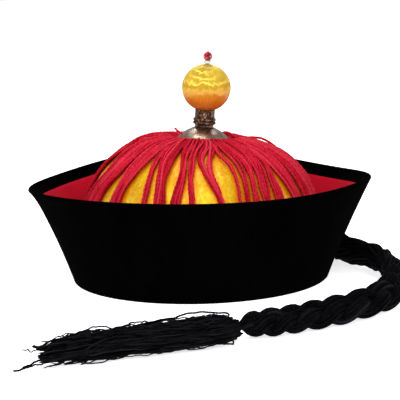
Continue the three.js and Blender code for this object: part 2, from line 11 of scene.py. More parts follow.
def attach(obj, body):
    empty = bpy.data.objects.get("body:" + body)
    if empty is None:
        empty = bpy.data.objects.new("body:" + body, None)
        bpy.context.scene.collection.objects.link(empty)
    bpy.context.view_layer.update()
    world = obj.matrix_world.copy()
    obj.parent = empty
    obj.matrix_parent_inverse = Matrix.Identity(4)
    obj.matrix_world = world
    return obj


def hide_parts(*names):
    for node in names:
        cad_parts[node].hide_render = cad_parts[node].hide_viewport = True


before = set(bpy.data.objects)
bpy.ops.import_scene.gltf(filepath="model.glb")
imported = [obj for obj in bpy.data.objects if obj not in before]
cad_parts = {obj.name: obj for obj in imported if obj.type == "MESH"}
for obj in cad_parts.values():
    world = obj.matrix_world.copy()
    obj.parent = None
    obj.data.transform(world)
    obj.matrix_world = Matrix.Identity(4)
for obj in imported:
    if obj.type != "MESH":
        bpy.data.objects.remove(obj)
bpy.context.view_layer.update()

MM = 0.001
TURN = 2 * math.pi
END_SHARE = 0.45  # of a yarn's radius at its two ends
LINE_SPANS = 24  # points that a smooth line has for each one given
chance = np.random.default_rng(11)

# Camera: its place, its turns from level in degrees, and its lens
CAMERA_PLACE = (2.6, -1000, 222.1)
CAMERA_PITCH = 9.35
CAMERA_YAW = -0.12
CAMERA_ROLL = -1.51
LENS = 119.8
SENSOR = 36

# Brim
BAND_RADIUS = 97  # outside of the bottom edge
RIM_RADIUS = 131  # outside of the rolled top edge
RIM_HEIGHT = 75.4  # mean height of the top edge
FLARE = 0.14  # how much the wall bends outwards on its way up
SAG = 3.7  # how far the wall falls in between its edges on the -X side
BRIM_WALL = 2.4
FOLD_WALL = 3.9  # where the velvet is turned over the top edge
LIP_RADIUS = 90.6  # the bottom hem, which carries the crown
LIP_HEIGHT = 2.5
EDGE_ROUND = 0.8
BASE_SHIFT = 1.2  # how far the bottom edge stands forward of its circle
# How the top edge rises and dips round the hat: the waves in a turn, and their cosine and sine
# shares. No wave at all is a rise all round.
RIM_WAVES = [(0, 0.3, 0), (1, 0.35, 0.9), (2, -2.85, -0.9), (3, 1.1, -2.5), (4, 0.7, 0)]
FACING_DEPTH = 8.6  # how far the turned velvet reaches down inside
FACING_LESS = 0.8  # by how much less on the -X side
HEM_ROUND = 0.6  # the facing's lower edge
GAP = 0.3  # between pieces that touch
LINING_WALL = 1
LINING_BOTTOM = 5

# Crown
CROWN_RADIUS = 92.7
CROWN_HEIGHT = 105.5  # before the button pulls the top down
CROWN_WALL = 2
CROWN_POWER = 2.8  # 2 is an ellipse, and more is squarer
DIMPLE = 10  # how far the button pulls the top down
DIMPLE_RADIUS = 26
EYELET_RADIUS = 1.5
TOP_SHIFT = 3.7  # the top stands this far to +X
LEAN_HEIGHT = 92  # where the crown has come that far over
TOP_SLOPE = 0.0005  # how much lower the crown's top gets for each millimetre to +X
PAINTED_BOUNCE_REACH = 3.4  # how far into a gap the painted red light, bounced from the yarn, reaches

# Fringe
YARN_RADIUS = 1.22
YARN_SPACING = 2.5  # between the upper yarns of a bundle
FURROW_SHARE = 0.8  # of the furrows between them that hold a lower yarn
LOWEST_YARN = 1.4  # height of the lowest yarns' middle over the crown
LAYER_LEVELS = np.array([1.0, 0.4, 0.7])  # where one yarn after another lies, from 0 to 1
CROSSING_SHARE = 0.42  # of the upper yarns that cross others near the cap
CROSSING_ANGLE = 11  # by how many degrees
YARN_PLY_TURN = 11  # length of one turn of its plies
UPPER_START = (13, 17)  # the radii between which the upper yarns start
LOWER_START = (15, 26)
YARN_FOOT = (21, 30)  # the heights between which the yarns end
LEFT_RISE = 1.3  # how much higher the fringe's shoulder stands on the -X side
RIGHT_FALL = 1.0  # and how much lower on the +X side
# How high the fringe's outer face stands over the crown at each radius, in front and at the back.
HEAD_RISE = [
    (4, 2.4), (20, 3.0), (22.3, 4.9), (25, 7), (30, 6.8), (36, 5), (44, 4.2), (54, 3.7), (120, 3.6),
]
BACK_RISE = [
    (4, 2.4), (20, 2.7), (22.3, 3.2), (25, 4), (30, 4.8), (36, 4.9), (44, 4.4), (54, 3.8), (120, 3.6),
]
# The yarns part in gaps. Each row is one gap round the front: its left and right edge in degrees
# at each of these radii of the crown, where -90 is the front. It is closed where they meet or cross.
GAP_RADII = np.array([45, 54, 61, 68, 75, 82])
FRONT_GAPS = [
    [(-164, -164), (-165, -165), (-168, -163.5), (-175, -160), (-179, -157.5), (-178, -168)],
    [(-140, -140), (-140, -140), (-140.3, -140.3), (-141, -140.3), (-144.8, -140.2), (-149.2, -140.6)],
    [(-126, -126), (-126.2, -126.2), (-127, -125.8), (-129, -122.8), (-130.8, -122), (-132.6, -120.6)],
    [(-120, -120), (-120.5, -120.5), (-120.9, -120.4), (-119.9, -118), (-119.4, -114.8), (-117.6, -113.8)],
    [(-108.4, -108.4), (-109.9, -106.8), (-109.3, -105), (-110, -104.6), (-110.6, -104), (-108, -105)],
    [(-102, -102), (-101, -101), (-100, -100), (-98.8, -98.8), (-98.5, -97.7), (-100.8, -95.8)],
    [(-99, -99), (-96.5, -96.5), (-94.4, -93.8), (-94.6, -91), (-94, -86.6), (-93.3, -81.3)],
    [(-83, -87), (-84.2, -80.6), (-84.6, -74), (-84.5, -72), (-81.6, -71.6), (-78.5, -72)],
    [(-73, -73), (-71.5, -71.5), (-70.4, -69.8), (-70.4, -69), (-70.4, -68.6), (-70.3, -68.4)],
    [(-66, -66), (-65, -65), (-64.4, -64), (-64.7, -63.3), (-65.9, -64.2), (-66.8, -64.8)],
    [(-56, -56), (-57, -57), (-58, -58), (-58.6, -57.4), (-61, -59.4), (-61.2, -58.6)],
    [(-46, -46), (-47.2, -46.4), (-48.3, -46.9), (-50.7, -48.8), (-52.6, -50.8), (-53.8, -51.6)],
    [(-43, -43), (-44, -44), (-45, -44.8), (-45.4, -43.8), (-45.4, -41.6), (-45.3, -38.8)],
    [(-29, -29), (-29.5, -29.5), (-30, -30), (-30.8, -30), (-32, -30.2), (-32.8, -28.9)],
    [(-24, -24), (-24.4, -24.4), (-24.8, -24.8), (-25.3, -25.1), (-25.6, -24.9), (-25.7, -24.7)],
    [(-10, -10), (-10, -10), (-10.2, -10.2), (-10.5, -10.3), (-11, -10), (-11.2, -9.6)],
]
# The gaps round the back: the middle in degrees, the width low down and the radius of the tip.
BACK_GAPS = [
    (12.6, 2.6, 64), (34.6, 6, 56), (53.5, 6.4, 52), (67.8, 5, 60), (88.5, 6.4, 54), (105.2, 5.8, 58),
    (124, 6.4, 53), (139.5, 3.4, 62), (157.8, 4, 60), (177.8, 2.2, 66),
]

# Finial: each height is above the surface that the hat rests on, before the finial is tilted
FINIAL_TILT = 4.4  # degrees to +X
TILT_HEIGHT = 95  # the height of the point that it tilts about, in the crown's eyelet
BORE_RADIUS = 1.0
CAP_RADIUS = 20.2
CAP_RIM_HEIGHT = 103.9
CAP_TOP_HEIGHT = 113.2
CAP_TOP_RADIUS = 7.6
CAP_WALL = 0.8
TUBE_RADIUS = 7.8
TUBE_BORE = 5.6
NECK_RADIUS = 7.1
COLLAR_BOTTOM = 115.7
COLLAR_TOP = 120.5
COLLAR_RINGS = (116.6, 119)  # the heights of its two rings
RING_REACH = 0.75  # how far a ring stands out
RING_HALF = 1.15  # half of a ring's height
RING_BEADS = 30  # small beads round each ring
TUBE_GROOVES = 17  # round the tube, in each of the two ways that they climb
GROOVE_CLIMB = 2.6  # radians of a groove's wave for each millimetre of height
BALL_RADIUS = 18.4
BALL_HEIGHT = 142.9  # its centre
BALL_FLAT = 0.97  # its height as a share of its width
SILK_THREADS = 66  # ridges round the ball
CLEAR_BEAD_RADIUS = 2.9
CLEAR_BEAD_HEIGHT = 162.1  # its middle
CLEAR_BEAD_HALF = 1.15  # half of its length
RED_BEAD_TOP = 169.4
PIN_RADIUS = 0.7
PIN_FOOT_RADIUS = 5
PIN_FOOT_HEIGHT = 1

# Braid, tie and tassel: the braid's route on the resting surface, x and y, from the hat to the tie
BRAID_ROUTE = [
    (2, 109), (16, 117), (34, 122), (53, 120), (72, 109), (88, 90), (99, 67), (106, 43),
    (111.5, 22), (119, 8), (127, -3), (133.5, -16), (138, -35), (139.5, -59), (137.5, -85),
    (131.5, -109), (121.5, -130.5), (108, -147), (93, -160), (77, -170.5), (62, -179),
    (47, -185.5), (34, -190), (23, -193.5),
]
PLAIT_ROWS = 310  # points of the middle line that the tie and the stitches are placed by
CORD_ROWS = 61  # points of the braid's middle line that braid_path holds
LOBE_AT_TIE = 11  # length of a lobe at the tie
LOBE_GROWTH = 0.13  # for each millimetre from the tie
LOBE_LONGEST = 24.5
PLAIT_PHASE = 0.1  # where the first lobe stands, in plaits
ROOT_SIZE = 1.3  # how thick it is at the hat, where 1 is at the tie
STRAND_RADIUS = 4.8
STRAND_TURN = 170  # length in which a strand's yarns go once round it
PLAIT_WIDE = 5.3  # how far a strand swings across
PLAIT_THICK = 2.7  # how far it swings over and under
# The solid plait's half sizes of the swing and of a strand, which give its middle line's height.
PLAIT_REACH_WIDE = 5.0
PLAIT_REACH_THICK = 2.3
STRAND_REACH_WIDE = 5.1
STRAND_REACH_THICK = 5.2
ROLL_AT_ROOT = 75  # how far the plait stands on its edge, in degrees
ROLL_AT_TIE = 14
ROOT_LENGTH = 20  # where the strands draw together at the hat
ROOT_SHARE = 0.5  # of their spread that is left there
NECK_LENGTH = 12  # where they draw together at the tie
NECK_SHARE = 0.34
LOOSE_FROM = 222  # the distance from the tie past which the strands are hardly plaited
LOOSE_LENGTH = 40  # in which the plait opens
LOOSE_SWELL = 0.72  # how much fuller a strand is there
LOOSE_CALM = 0.84  # of its swing that is lost there
ROOT_STITCHES = 5
ROOT_STITCH_REACH = 6.2
ROOT_STITCH_RADIUS = 0.34
ROOT_STITCH_SPAN = (0.8, 5.2)  # from the first to the last, along the root
ROOT_STITCH_DEPTH = 0.6  # how far their ends go into the velvet
TIE_LENGTH = 5
TASSEL_WIDE = 11.0  # half sizes of the tassel's oval
TASSEL_THICK = 7.4
# The tassel's size along it: the distance from the tie, and the share of the half sizes.
TASSEL_SWELL = [
    (0, 0.27), (4.0, 0.29), (5.6, 0.7), (8, 0.95), (12, 1.06), (22, 1.04), (60, 1.04), (95, 0.98),
    (108, 0.86), (125, 0.7),
]
GOLDEN_ANGLE = 2.39996
# The tassel's middle line past the tie: x, y and height.
TASSEL_ROUTE = [
    (11, -203, 9.7), (0, -210, 10), (-15, -216, 10), (-33, -221, 10), (-51, -226.5, 9.8),
    (-68, -234, 9.3), (-84, -240, 8.4), (-94, -242, 7.4),
]


# Making meshes


def unit(vectors):
    """Each vector divided by its own length."""
    return vectors / np.linalg.norm(vectors, axis=-1, keepdims=True)


def piece(name, points, quads, caps=None, uv=None, tone=None):
    """A mesh from points in millimetres, four-sided faces and end caps, turned so that the volume
    it encloses is positive, which makes its faces point outwards. The map has a place for each
    corner of a four-sided face, and the tone a shade for each point."""
    points = np.asarray(points, float).reshape(-1, 3)
    a, b, c, d = (points[quads[:, i]] for i in range(4))
    volume = np.sum(a * np.cross(b, c)) + np.sum(a * np.cross(c, d))
    groups = [quads] + ([caps] if caps is not None else [])
    if volume < 0:
        groups = [group[:, ::-1] for group in groups]
        uv = None if uv is None else uv[:, ::-1]
    corners = np.concatenate([group.ravel() for group in groups]).astype(np.int32)
    sizes = np.concatenate([np.full(len(group), group.shape[1]) for group in groups])
    mesh = bpy.data.meshes.new(name)
    mesh.vertices.add(len(points))
    mesh.vertices.foreach_set("co", (points * MM).astype(np.float32).ravel())
    mesh.loops.add(len(corners))
    mesh.loops.foreach_set("vertex_index", corners)
    mesh.polygons.add(len(sizes))
    mesh.polygons.foreach_set("loop_start", (np.cumsum(sizes) - sizes).astype(np.int32))
    mesh.update(calc_edges=True)
    mesh.polygons.foreach_set("use_smooth", np.ones(len(sizes), bool))
    if uv is not None:
        flat = np.zeros((len(corners), 2), np.float32)
        flat[: uv.shape[0] * 4] = uv.reshape(-1, 2) * MM
        mesh.uv_layers.new(name="thread").data.foreach_set("uv", flat.ravel())
    if tone is not None:
        layer = mesh.attributes.new("tone", "FLOAT", "POINT")
        layer.data.foreach_set("value", np.asarray(tone, np.float32).ravel())
    made = bpy.data.objects.new(name, mesh)
    bpy.context.scene.collection.objects.link(made)
    return made


def ring_piece(name, profiles, moved=None, tone=None):
    """A closed ring: profiles[i] is the closed section at the i-th of evenly spaced angles round
    Z, as points (radius, height). Column 0 is the radius and column 1 the height."""
    turns, around = profiles.shape[:2]
    angle = (np.arange(turns) / turns * TURN)[:, None]
    radius, height = profiles[..., 0], profiles[..., 1]
    points = np.stack([radius * np.cos(angle), radius * np.sin(angle), height], -1)
    if moved is not None:
        points = moved(points)
    i, j = np.meshgrid(np.arange(turns), np.arange(around), indexing="ij")
    down, on = (i + 1) % turns, (j + 1) % around
    quads = np.stack([i * around + j, i * around + on, down * around + on, down * around + j], -1)
    return piece(name, points, quads.reshape(-1, 4), tone=tone)


def tubes(paths, sideways, radius, sides, plies=3, depth=0.0, turn_length=None, phase=None):
    """Round or twisted tubes along many paths at once. Each section is a circle whose radius
    dips between its plies by the cosine of the angle, and turns steadily with the length from a
    phase of its own. The distance from its start comes with each section."""
    along = unit(np.gradient(paths, axis=1))
    side = unit(sideways - np.sum(sideways * along, -1, keepdims=True) * along)
    over = np.cross(along, side)
    steps = np.linalg.norm(np.diff(paths, axis=1), axis=-1)
    length = np.concatenate([np.zeros((len(paths), 1)), np.cumsum(steps, 1)], 1)
    around = np.arange(sides) / sides * TURN
    lobes = 1 - depth * (0.5 - 0.5 * np.cos(plies * around))
    turned = around + np.zeros(paths.shape[:2])[..., None]
    if phase is not None:
        turned = turned + phase[:, None, None]
    if turn_length is not None:
        turned = turned + (TURN / turn_length * length)[..., None]
    reach = (np.broadcast_to(radius, paths.shape[:2])[..., None] * lobes)[..., None]
    flat = np.cos(turned)[..., None] * side[:, :, None] + np.sin(turned)[..., None] * over[:, :, None]
    return paths[:, :, None] + reach * flat, length


def tube_piece(name, rings, length, width, tone):
    """One mesh of many closed tubes from their rings, with the thread's own map: its first
    number runs round the tube and its second along it. The tone is a shade from 0 to 1 for each
    tube, or for each point of its rings."""
    count, rows, sides = rings.shape[:3]
    t, i, j = np.meshgrid(np.arange(count), np.arange(rows - 1), np.arange(sides), indexing="ij")
    first = t * rows * sides
    on = (j + 1) % sides
    corners = [(i, j), (i, on), (i + 1, on), (i + 1, j)]
    quads = np.stack([first + row * sides + column for row, column in corners], -1).reshape(-1, 4)
    starts = np.arange(count)[:, None] * rows * sides
    begin = starts + np.arange(sides)[::-1]
    end = starts + (rows - 1) * sides + np.arange(sides)
    u = np.stack([j, j + 1, j + 1, j], -1) * (width * math.pi / sides)
    v = np.stack([length[t, i], length[t, i], length[t, i + 1], length[t, i + 1]], -1)
    uv = np.stack([u, v], -1).reshape(-1, 4, 2)
    if tone.ndim == 1:
        tone = tone[:, None, None]
    tone = np.broadcast_to(tone, (count, rows, sides))
    return piece(name, rings, quads, np.concatenate([begin, end]), uv, tone)


def rounded_ends(rows, count):
    """Radius shares along a tube: small at its two ends and 1 between them."""
    share = np.ones((count, rows))
    share[:, 0] = END_SHARE
    share[:, -1] = END_SHARE
    return share


def smooth_line(points):
    """A curve through the points: each span is a cubic whose slopes at its ends come from the
    neighbours, weighted by the square roots of the distances."""
    p = np.asarray(points, float)
    p = np.vstack([2 * p[0] - p[1], p, 2 * p[-1] - p[-2]])
    p0, p1, p2, p3 = p[:-3], p[1:-2], p[2:-1], p[3:]
    ends = ((p0, p1), (p1, p2), (p2, p3))
    d0, d1, d2 = (np.sqrt(np.linalg.norm(b - a, axis=1))[:, None] for a, b in ends)
    leave = ((p1 - p0) / d0 - (p2 - p0) / (d0 + d1) + (p2 - p1) / d1) * d1
    reach = ((p2 - p1) / d1 - (p3 - p1) / (d1 + d2) + (p3 - p2) / d2) * d1
    s = (np.arange(LINE_SPANS) / LINE_SPANS)[None, :, None]
    p1, p2, leave, reach = (a[:, None] for a in (p1, p2, leave, reach))
    line = p1 * (2 * s**3 - 3 * s**2 + 1) + leave * (s**3 - 2 * s**2 + s)
    line = line + p2 * (3 * s**2 - 2 * s**3) + reach * (s**3 - s**2)
    return np.vstack([line.reshape(-1, 3), p[-2]])


def length_along(line):
    """The distance walked from the line's start at each of its points."""
    return np.concatenate([[0], np.cumsum(np.linalg.norm(np.diff(line, axis=0), axis=1))])


def at_length(line, distance):
    """The points of a line at given distances from its start."""
    walked = length_along(line)
    return np.stack([np.interp(distance, walked, line[:, k]) for k in range(3)], -1)


def waves(angle, table):
    """A sum of waves round a turn: for each row its count, its size and where it starts."""
    total = np.zeros_like(angle)
    for count, size, start in table:
        total = total + size * np.sin(count * angle + start)
    return total


def wander(count, rows, size, turns):
    """Slow random swings along each of many yarns: three sine waves with their own starts."""
    s = np.linspace(0, 1, rows)[None, :]
    total = np.zeros((count, rows))
    for k in (0.5, 1.0, 1.9):
        start = chance.uniform(0, TURN, (count, 1))
        total = total + np.sin(TURN * turns * k * s + start) / (1 + k)
    return size * total


# Finishes


def linear(red, green, blue):
    """A colour of 0 to 255 as the shader's own linear numbers, with full cover."""
    share = np.array([red, green, blue]) / 255
    value = np.where(share > 0.04045, ((share + 0.055) / 1.055) ** 2.4, share / 12.92)
    return (*value.tolist(), 1)


class Finish:
    """A material under construction: one Principled shader and the nodes that feed it."""

    def __init__(self, name, colour, roughness, **sockets):
        self.material = bpy.data.materials.new(name)
        self.material.use_nodes = True
        self.tree = self.material.node_tree
        self.shader = self.tree.nodes["Principled BSDF"]
        self.set("Base Color", colour)
        self.set("Roughness", roughness)
        for socket, value in sockets.items():
            self.set(socket.replace("_", " "), value)

    def set(self, socket, value):
        """Sets a socket of the shader to a value."""
        self.shader.inputs[socket].default_value = value

    def node(self, kind, settings=(), **inputs):
        """A new node with its settings, and with each input a value or a link."""
        made = self.tree.nodes.new(kind)
        for key, value in dict(settings).items():
            setattr(made, key, value)
        for key, value in inputs.items():
            socket = made.inputs[key.replace("_", " ")]
            if isinstance(value, bpy.types.NodeSocket):
                self.tree.links.new(value, socket)
            else:
                socket.default_value = value
        return made

    def place(self, stretch=(1, 1, 1), turned=(0, 0, 0), thread=False):
        """Object coordinates, or the thread's own map, stretched and turned."""
        source = self.node("ShaderNodeTexCoord").outputs["UV" if thread else "Object"]
        return self.node("ShaderNodeMapping", Vector=source, Scale=stretch, Rotation=turned).outputs[0]

    def noise(self, place, scale, detail, roughness=0.6):
        """Cloudy noise from 0 to 1 with so many clouds in a metre."""
        made = self.node("ShaderNodeTexNoise", Vector=place, Scale=scale, Detail=detail)
        made.inputs["Roughness"].default_value = roughness
        return made.outputs["Fac"]

    def ramp(self, value, stops):
        """A colour that runs through the stops, each a value and its colour."""
        made = self.node("ShaderNodeValToRGB", Fac=value)
        stops = sorted(stops)
        elements = made.color_ramp.elements
        elements[0].position, elements[0].color = stops[0]
        elements[1].position, elements[1].color = stops[-1]
        for position, colour in stops[1:-1]:
            elements.new(position).color = colour
        return made.outputs["Color"]

    def mix(self, factor, first, second):
        """The first colour, and a factor of the second in its place."""
        made = self.node("ShaderNodeMix", {"data_type": "RGBA"})
        for socket, value in ((made.inputs[0], factor), (made.inputs[6], first), (made.inputs[7], second)):
            if isinstance(value, bpy.types.NodeSocket):
                self.tree.links.new(value, socket)
            else:
                socket.default_value = value
        return made.outputs[2]

    def sum(self, first, second, share):
        """The first value and a share of the second."""
        made = self.node("ShaderNodeMath", {"operation": "MULTIPLY_ADD"})
        self.tree.links.new(second, made.inputs[0])
        made.inputs[1].default_value = share
        self.tree.links.new(first, made.inputs[2])
        return made.outputs[0]

    def colour_from(self, output):
        """Links the shader's colour."""
        self.tree.links.new(output, self.shader.inputs["Base Color"])

    def roughness_from(self, value, low, high):
        """Roughness from low to high as a value goes from 0 to 1."""
        made = self.node("ShaderNodeMapRange", Value=value)
        made.inputs["To Min"].default_value = low
        made.inputs["To Max"].default_value = high
        self.tree.links.new(made.outputs[0], self.shader.inputs["Roughness"])

    def bumps(self, height, depth, strength):
        """Raises the surface by a height of 0 to 1 times the depth in millimetres."""
        made = self.node("ShaderNodeBump", Height=height, Strength=strength, Distance=depth * MM)
        self.tree.links.new(made.outputs[0], self.shader.inputs["Normal"])

    def on(self, made, slot):
        """Puts the material on a piece. The slot is not used."""
        made.data.materials.clear()
        made.data.materials.append(self.material)
        return made


def velvet():
    """Black cotton velvet: a short pile with faint clouds where it is brushed another way."""
    f = Finish("black_velvet", linear(3, 3, 3), 0.95, Specular_IOR_Level=0.0)
    f.set("Sheen Weight", 0.008)
    f.set("Sheen Roughness", 0.35)
    f.set("Sheen Tint", (0.55, 0.56, 0.62, 1))
    clouds = f.noise(f.place((1, 1, 0.6)), 28, 4)
    pile = f.noise(f.place(), 1500, 2)
    shade = f.ramp(clouds, [(0.3, linear(0, 0, 0)), (0.75, linear(3, 3, 3))])
    tips = f.ramp(pile, [(0.35, linear(0, 0, 0)), (0.7, linear(6, 6, 7))])
    f.colour_from(f.mix(0.4, shade, tips))
    f.bumps(f.sum(pile, clouds, 0.4), 0.35, 0.8)
    return f


def felt():
    """Red wool felt: matted fibres in every direction."""
    f = Finish("red_felt", linear(176, 17, 38), 0.95, Specular_IOR_Level=0.05)
    f.set("Sheen Weight", 0.06)
    f.set("Sheen Tint", (0.9, 0.25, 0.3, 1))
    fibres = f.noise(f.place((1, 1, 2.6)), 900, 5, 0.75)
    clouds = f.noise(f.place(), 60, 3)
    shade = f.ramp(fibres, [(0.3, linear(142, 2, 18)), (0.7, linear(190, 14, 42))])
    faded = f.ramp(clouds, [(0.3, linear(146, 4, 22)), (0.7, linear(188, 14, 40))])
    f.colour_from(f.mix(0.3, shade, faded))
    f.bumps(fibres, 0.25, 0.7)
    return f


def satin():
    """Golden satin: a smooth weave of long floats that shines, with soft clouds of colour and
    small sparkles, raised by the bump and painted into the colour as glints. Its tone is painted
    red light, bounced from the yarn onto the satin in the shade beside the bundles."""
    f = Finish("golden_satin", linear(232, 164, 16), 0.34, Metallic=0.22, Specular_IOR_Level=0.5)
    f.set("Specular Tint", (1, 0.86, 0.3, 1))
    clouds = f.noise(f.place((1, 1, 0.45)), 60, 3)
    sparkle = f.noise(f.place((1, 1, 0.5)), 560, 4, 0.75)
    floats = f.noise(f.place((1, 1, 0.05)), 3200, 1)
    shade = f.ramp(
        clouds, [(0.3, linear(196, 102, 2)), (0.5, linear(202, 150, 4)), (0.68, linear(214, 200, 10))]
    )
    # Painted glints: the sparkle noise lightens the colour in small spots, as the bump raises them.
    bright = f.ramp(
        sparkle, [(0.34, linear(196, 94, 2)), (0.5, linear(206, 154, 6)), (0.66, linear(242, 222, 78))]
    )
    lines = f.ramp(floats, [(0.35, linear(192, 120, 2)), (0.65, linear(230, 196, 36))])
    # Painted red light bounced from the yarn: the tone tints the satin orange-red beside it.
    near = f.node("ShaderNodeAttribute", {"attribute_name": "tone"}).outputs["Fac"]
    painted_bounce_amount = f.ramp(near, [(0.0, (0, 0, 0, 1)), (1.0, (0.68, 0.68, 0.68, 1))])
    plain = f.mix(0.22, f.mix(0.5, shade, bright), lines)
    f.colour_from(f.mix(painted_bounce_amount, plain, linear(226, 96, 4)))
    f.roughness_from(clouds, 0.22, 0.36)
    f.bumps(f.sum(f.sum(sparkle, clouds, 0.5), floats, 0.35), 0.16, 0.8)
    return f


def yarn(name, dark, middle, light, specular):
    """Twisted yarn: fine fibres that run round each ply at a slant, and a tone from the piece: a
    random shade, which on the fringe also holds painted highlight and painted shade.
    """
    f = Finish(name, middle, 0.8, Specular_IOR_Level=specular)
    f.set("Sheen Weight", 0.01)
    f.set("Sheen Roughness", 0.5)
    f.set("Sheen Tint", light)
    fibres = f.noise(f.place((2600, 420, 1), (0, 0, 0.5), thread=True), 1.0, 3, 0.7)
    clouds = f.noise(f.place(), 130, 3)
    tone = f.node("ShaderNodeAttribute", {"attribute_name": "tone"}).outputs["Fac"]
    # The tone: a random shade, and on the fringe also painted highlight and painted shade.
    own = f.ramp(tone, [(0.0, dark), (0.5, middle), (1.0, light)])
    shade = f.ramp(f.sum(fibres, clouds, 0.25), [(0.42, dark), (0.62, middle), (0.85, light)])
    f.colour_from(f.mix(0.55, own, shade))
    f.bumps(fibres, 0.16, 0.9)
    return f


def red_yarn():
    """Bright red yarn."""
    return yarn("red_yarn", linear(120, 0, 8), linear(176, 8, 34), linear(222, 74, 94), 0.02)


def black_yarn():
    """Black yarn, nearly without shine."""
    return yarn("black_yarn", linear(0, 0, 0), linear(1, 1, 2), linear(34, 34, 38), 0.02)


def silver():
    """Dull nickel silver with faint turning marks and smudges."""
    f = Finish("dull_silver", linear(142, 128, 114), 0.26, Metallic=1.0)
    smudges = f.noise(f.place(), 160, 4)
    marks = f.noise(f.place((1, 1, 12)), 260, 2)
    f.colour_from(f.ramp(smudges, [(0.3, linear(108, 90, 74)), (0.7, linear(170, 156, 141))]))
    f.roughness_from(f.sum(smudges, marks, 0.4), 0.2, 0.38)
    f.bumps(marks, 0.05, 0.4)
    return f


def bronze():
    """Brown bronze: bright where it is rubbed and dark elsewhere, in random clouds of wear."""
    f = Finish("brown_bronze", linear(92, 70, 56), 0.3, Metallic=1.0)
    wear = f.noise(f.place(), 420, 4)
    f.colour_from(f.ramp(
        wear, [(0.34, linear(42, 27, 18)), (0.52, linear(76, 52, 38)), (0.72, linear(150, 130, 114))]
    ))
    f.roughness_from(wear, 0.2, 0.36)
    f.bumps(wear, 0.05, 0.6)
    return f


def silk():
    """Silk thread wound from pole to pole: yellow above, and deeper orange below. The shine runs
    across the threads, and it is more like metal's above, where they are tight."""
    f = Finish("wound_silk", linear(206, 160, 22), 0.39, Specular_IOR_Level=0.55)
    f.set("Anisotropic", 1.0)
    tangent = f.node("ShaderNodeTangent", {"direction_type": "UV_MAP", "uv_map": "thread"})
    f.tree.links.new(tangent.outputs[0], f.shader.inputs["Tangent"])
    balls_high = f.place((1, 1, 1 / (2 * BALL_RADIUS * MM)))
    height = f.node("ShaderNodeSeparateXYZ", Vector=balls_high).outputs[2]
    low = (BALL_HEIGHT - BALL_RADIUS) / (2 * BALL_RADIUS)
    level = f.node("ShaderNodeMath", {"operation": "SUBTRACT"})
    f.tree.links.new(height, level.inputs[0])
    level.inputs[1].default_value = low
    gloss = f.node("ShaderNodeMapRange", Value=level.outputs[0])
    for socket, value in (("From Min", 0.3), ("From Max", 0.56), ("To Min", 0.1), ("To Max", 0.5)):
        gloss.inputs[socket].default_value = value
    f.tree.links.new(gloss.outputs[0], f.shader.inputs["Metallic"])
    threads = f.noise(f.place((5200, 60, 1), thread=True), 1.0, 2)
    body = f.ramp(
        f.sum(level.outputs[0], threads, 0.12),
        [(0.08, linear(202, 44, 0)), (0.3, linear(200, 84, 0)), (0.46, linear(196, 128, 4)),
         (0.6, linear(196, 160, 24)), (0.95, linear(196, 172, 42))],
    )
    strands = f.ramp(threads, [(0.3, linear(176, 84, 2)), (0.7, linear(236, 202, 84))])
    f.colour_from(f.mix(0.3, body, strands))
    uneven = f.noise(f.place((190, 60, 1), thread=True), 1.0, 2)
    f.bumps(f.sum(uneven, threads, 0.02), 1.0, 1.0)
    return f


def glass(name, colour, transmission, coat, size, depth):
    """Smooth glass: how much light it lets through, its clear coat, and the scale and depth of
    its slight waviness."""
    f = Finish(name, colour, 0.04, IOR=1.5, Transmission_Weight=transmission)
    f.set("Coat Weight", coat)
    f.bumps(f.noise(f.place(), size, 1), depth, 0.6)
    return f


def clear_glass():
    """Clear glass, a little grey."""
    return glass("clear_glass", (0.74, 0.74, 0.7, 1), transmission=0.35, coat=0.5, size=500, depth=0.1)


def red_glass():
    """Deep red cut glass, with painted shade nearly black and painted light pink in random clouds."""
    f = glass("red_glass", linear(146, 0, 10), transmission=0, coat=0, size=420, depth=0.4)
    # Painted facet shade and light: random clouds from nearly black through red to pink.
    painted_facet_light = f.noise(f.place(), 520, 1)
    f.colour_from(f.ramp(
        painted_facet_light, [(0.4, linear(84, 0, 4)), (0.52, linear(166, 0, 20)), (0.7, linear(230, 74, 92))]
    ))
    return f


def floor_paper():
    """Plain pale paper, lit a little from below as on a light table."""
    f = Finish("pale_paper", linear(246, 246, 246), 0.9, Specular_IOR_Level=0.1)
    clouds = f.noise(f.place(), 3, 2)
    f.colour_from(f.ramp(clouds, [(0.3, linear(245, 245, 245)), (0.7, linear(247, 247, 247))]))
    f.set("Emission Color", (1, 1, 1, 1))
    f.set("Emission Strength", 0.72)
    return f


# Camera


def stand_camera():
    """The camera in front of the hat and above its rim: level and ahead along +Y, then turned by
    its pitch, yaw and roll."""
    pitch, yaw, roll = (math.radians(a) for a in (CAMERA_PITCH, CAMERA_YAW, CAMERA_ROLL))
    ahead = Vector((math.sin(yaw) * math.cos(pitch), math.cos(yaw) * math.cos(pitch), -math.sin(pitch)))
    right = ahead.cross(Vector((0, 0, 1))).normalized()
    up = right.cross(ahead)
    across = right * math.cos(roll) + up * math.sin(roll)
    upright = up * math.cos(roll) - right * math.sin(roll)
    data = bpy.data.cameras.new("camera")
    data.lens = LENS
    data.sensor_width = SENSOR
    data.sensor_fit = "HORIZONTAL"
    data.clip_start = 0.01
    data.clip_end = 100
    camera = bpy.data.objects.new("camera", data)
    bpy.context.scene.collection.objects.link(camera)
    turned = Matrix((across, upright, -ahead)).transposed().to_4x4()
    camera.matrix_world = Matrix.Translation(Vector(CAMERA_PLACE) * MM) @ turned
    bpy.context.scene.camera = camera


stand_camera()

# The finishes of the yarns, which several pieces share
black_thread = black_yarn()
red_thread = red_yarn()


# Braid, its tie and its tassel


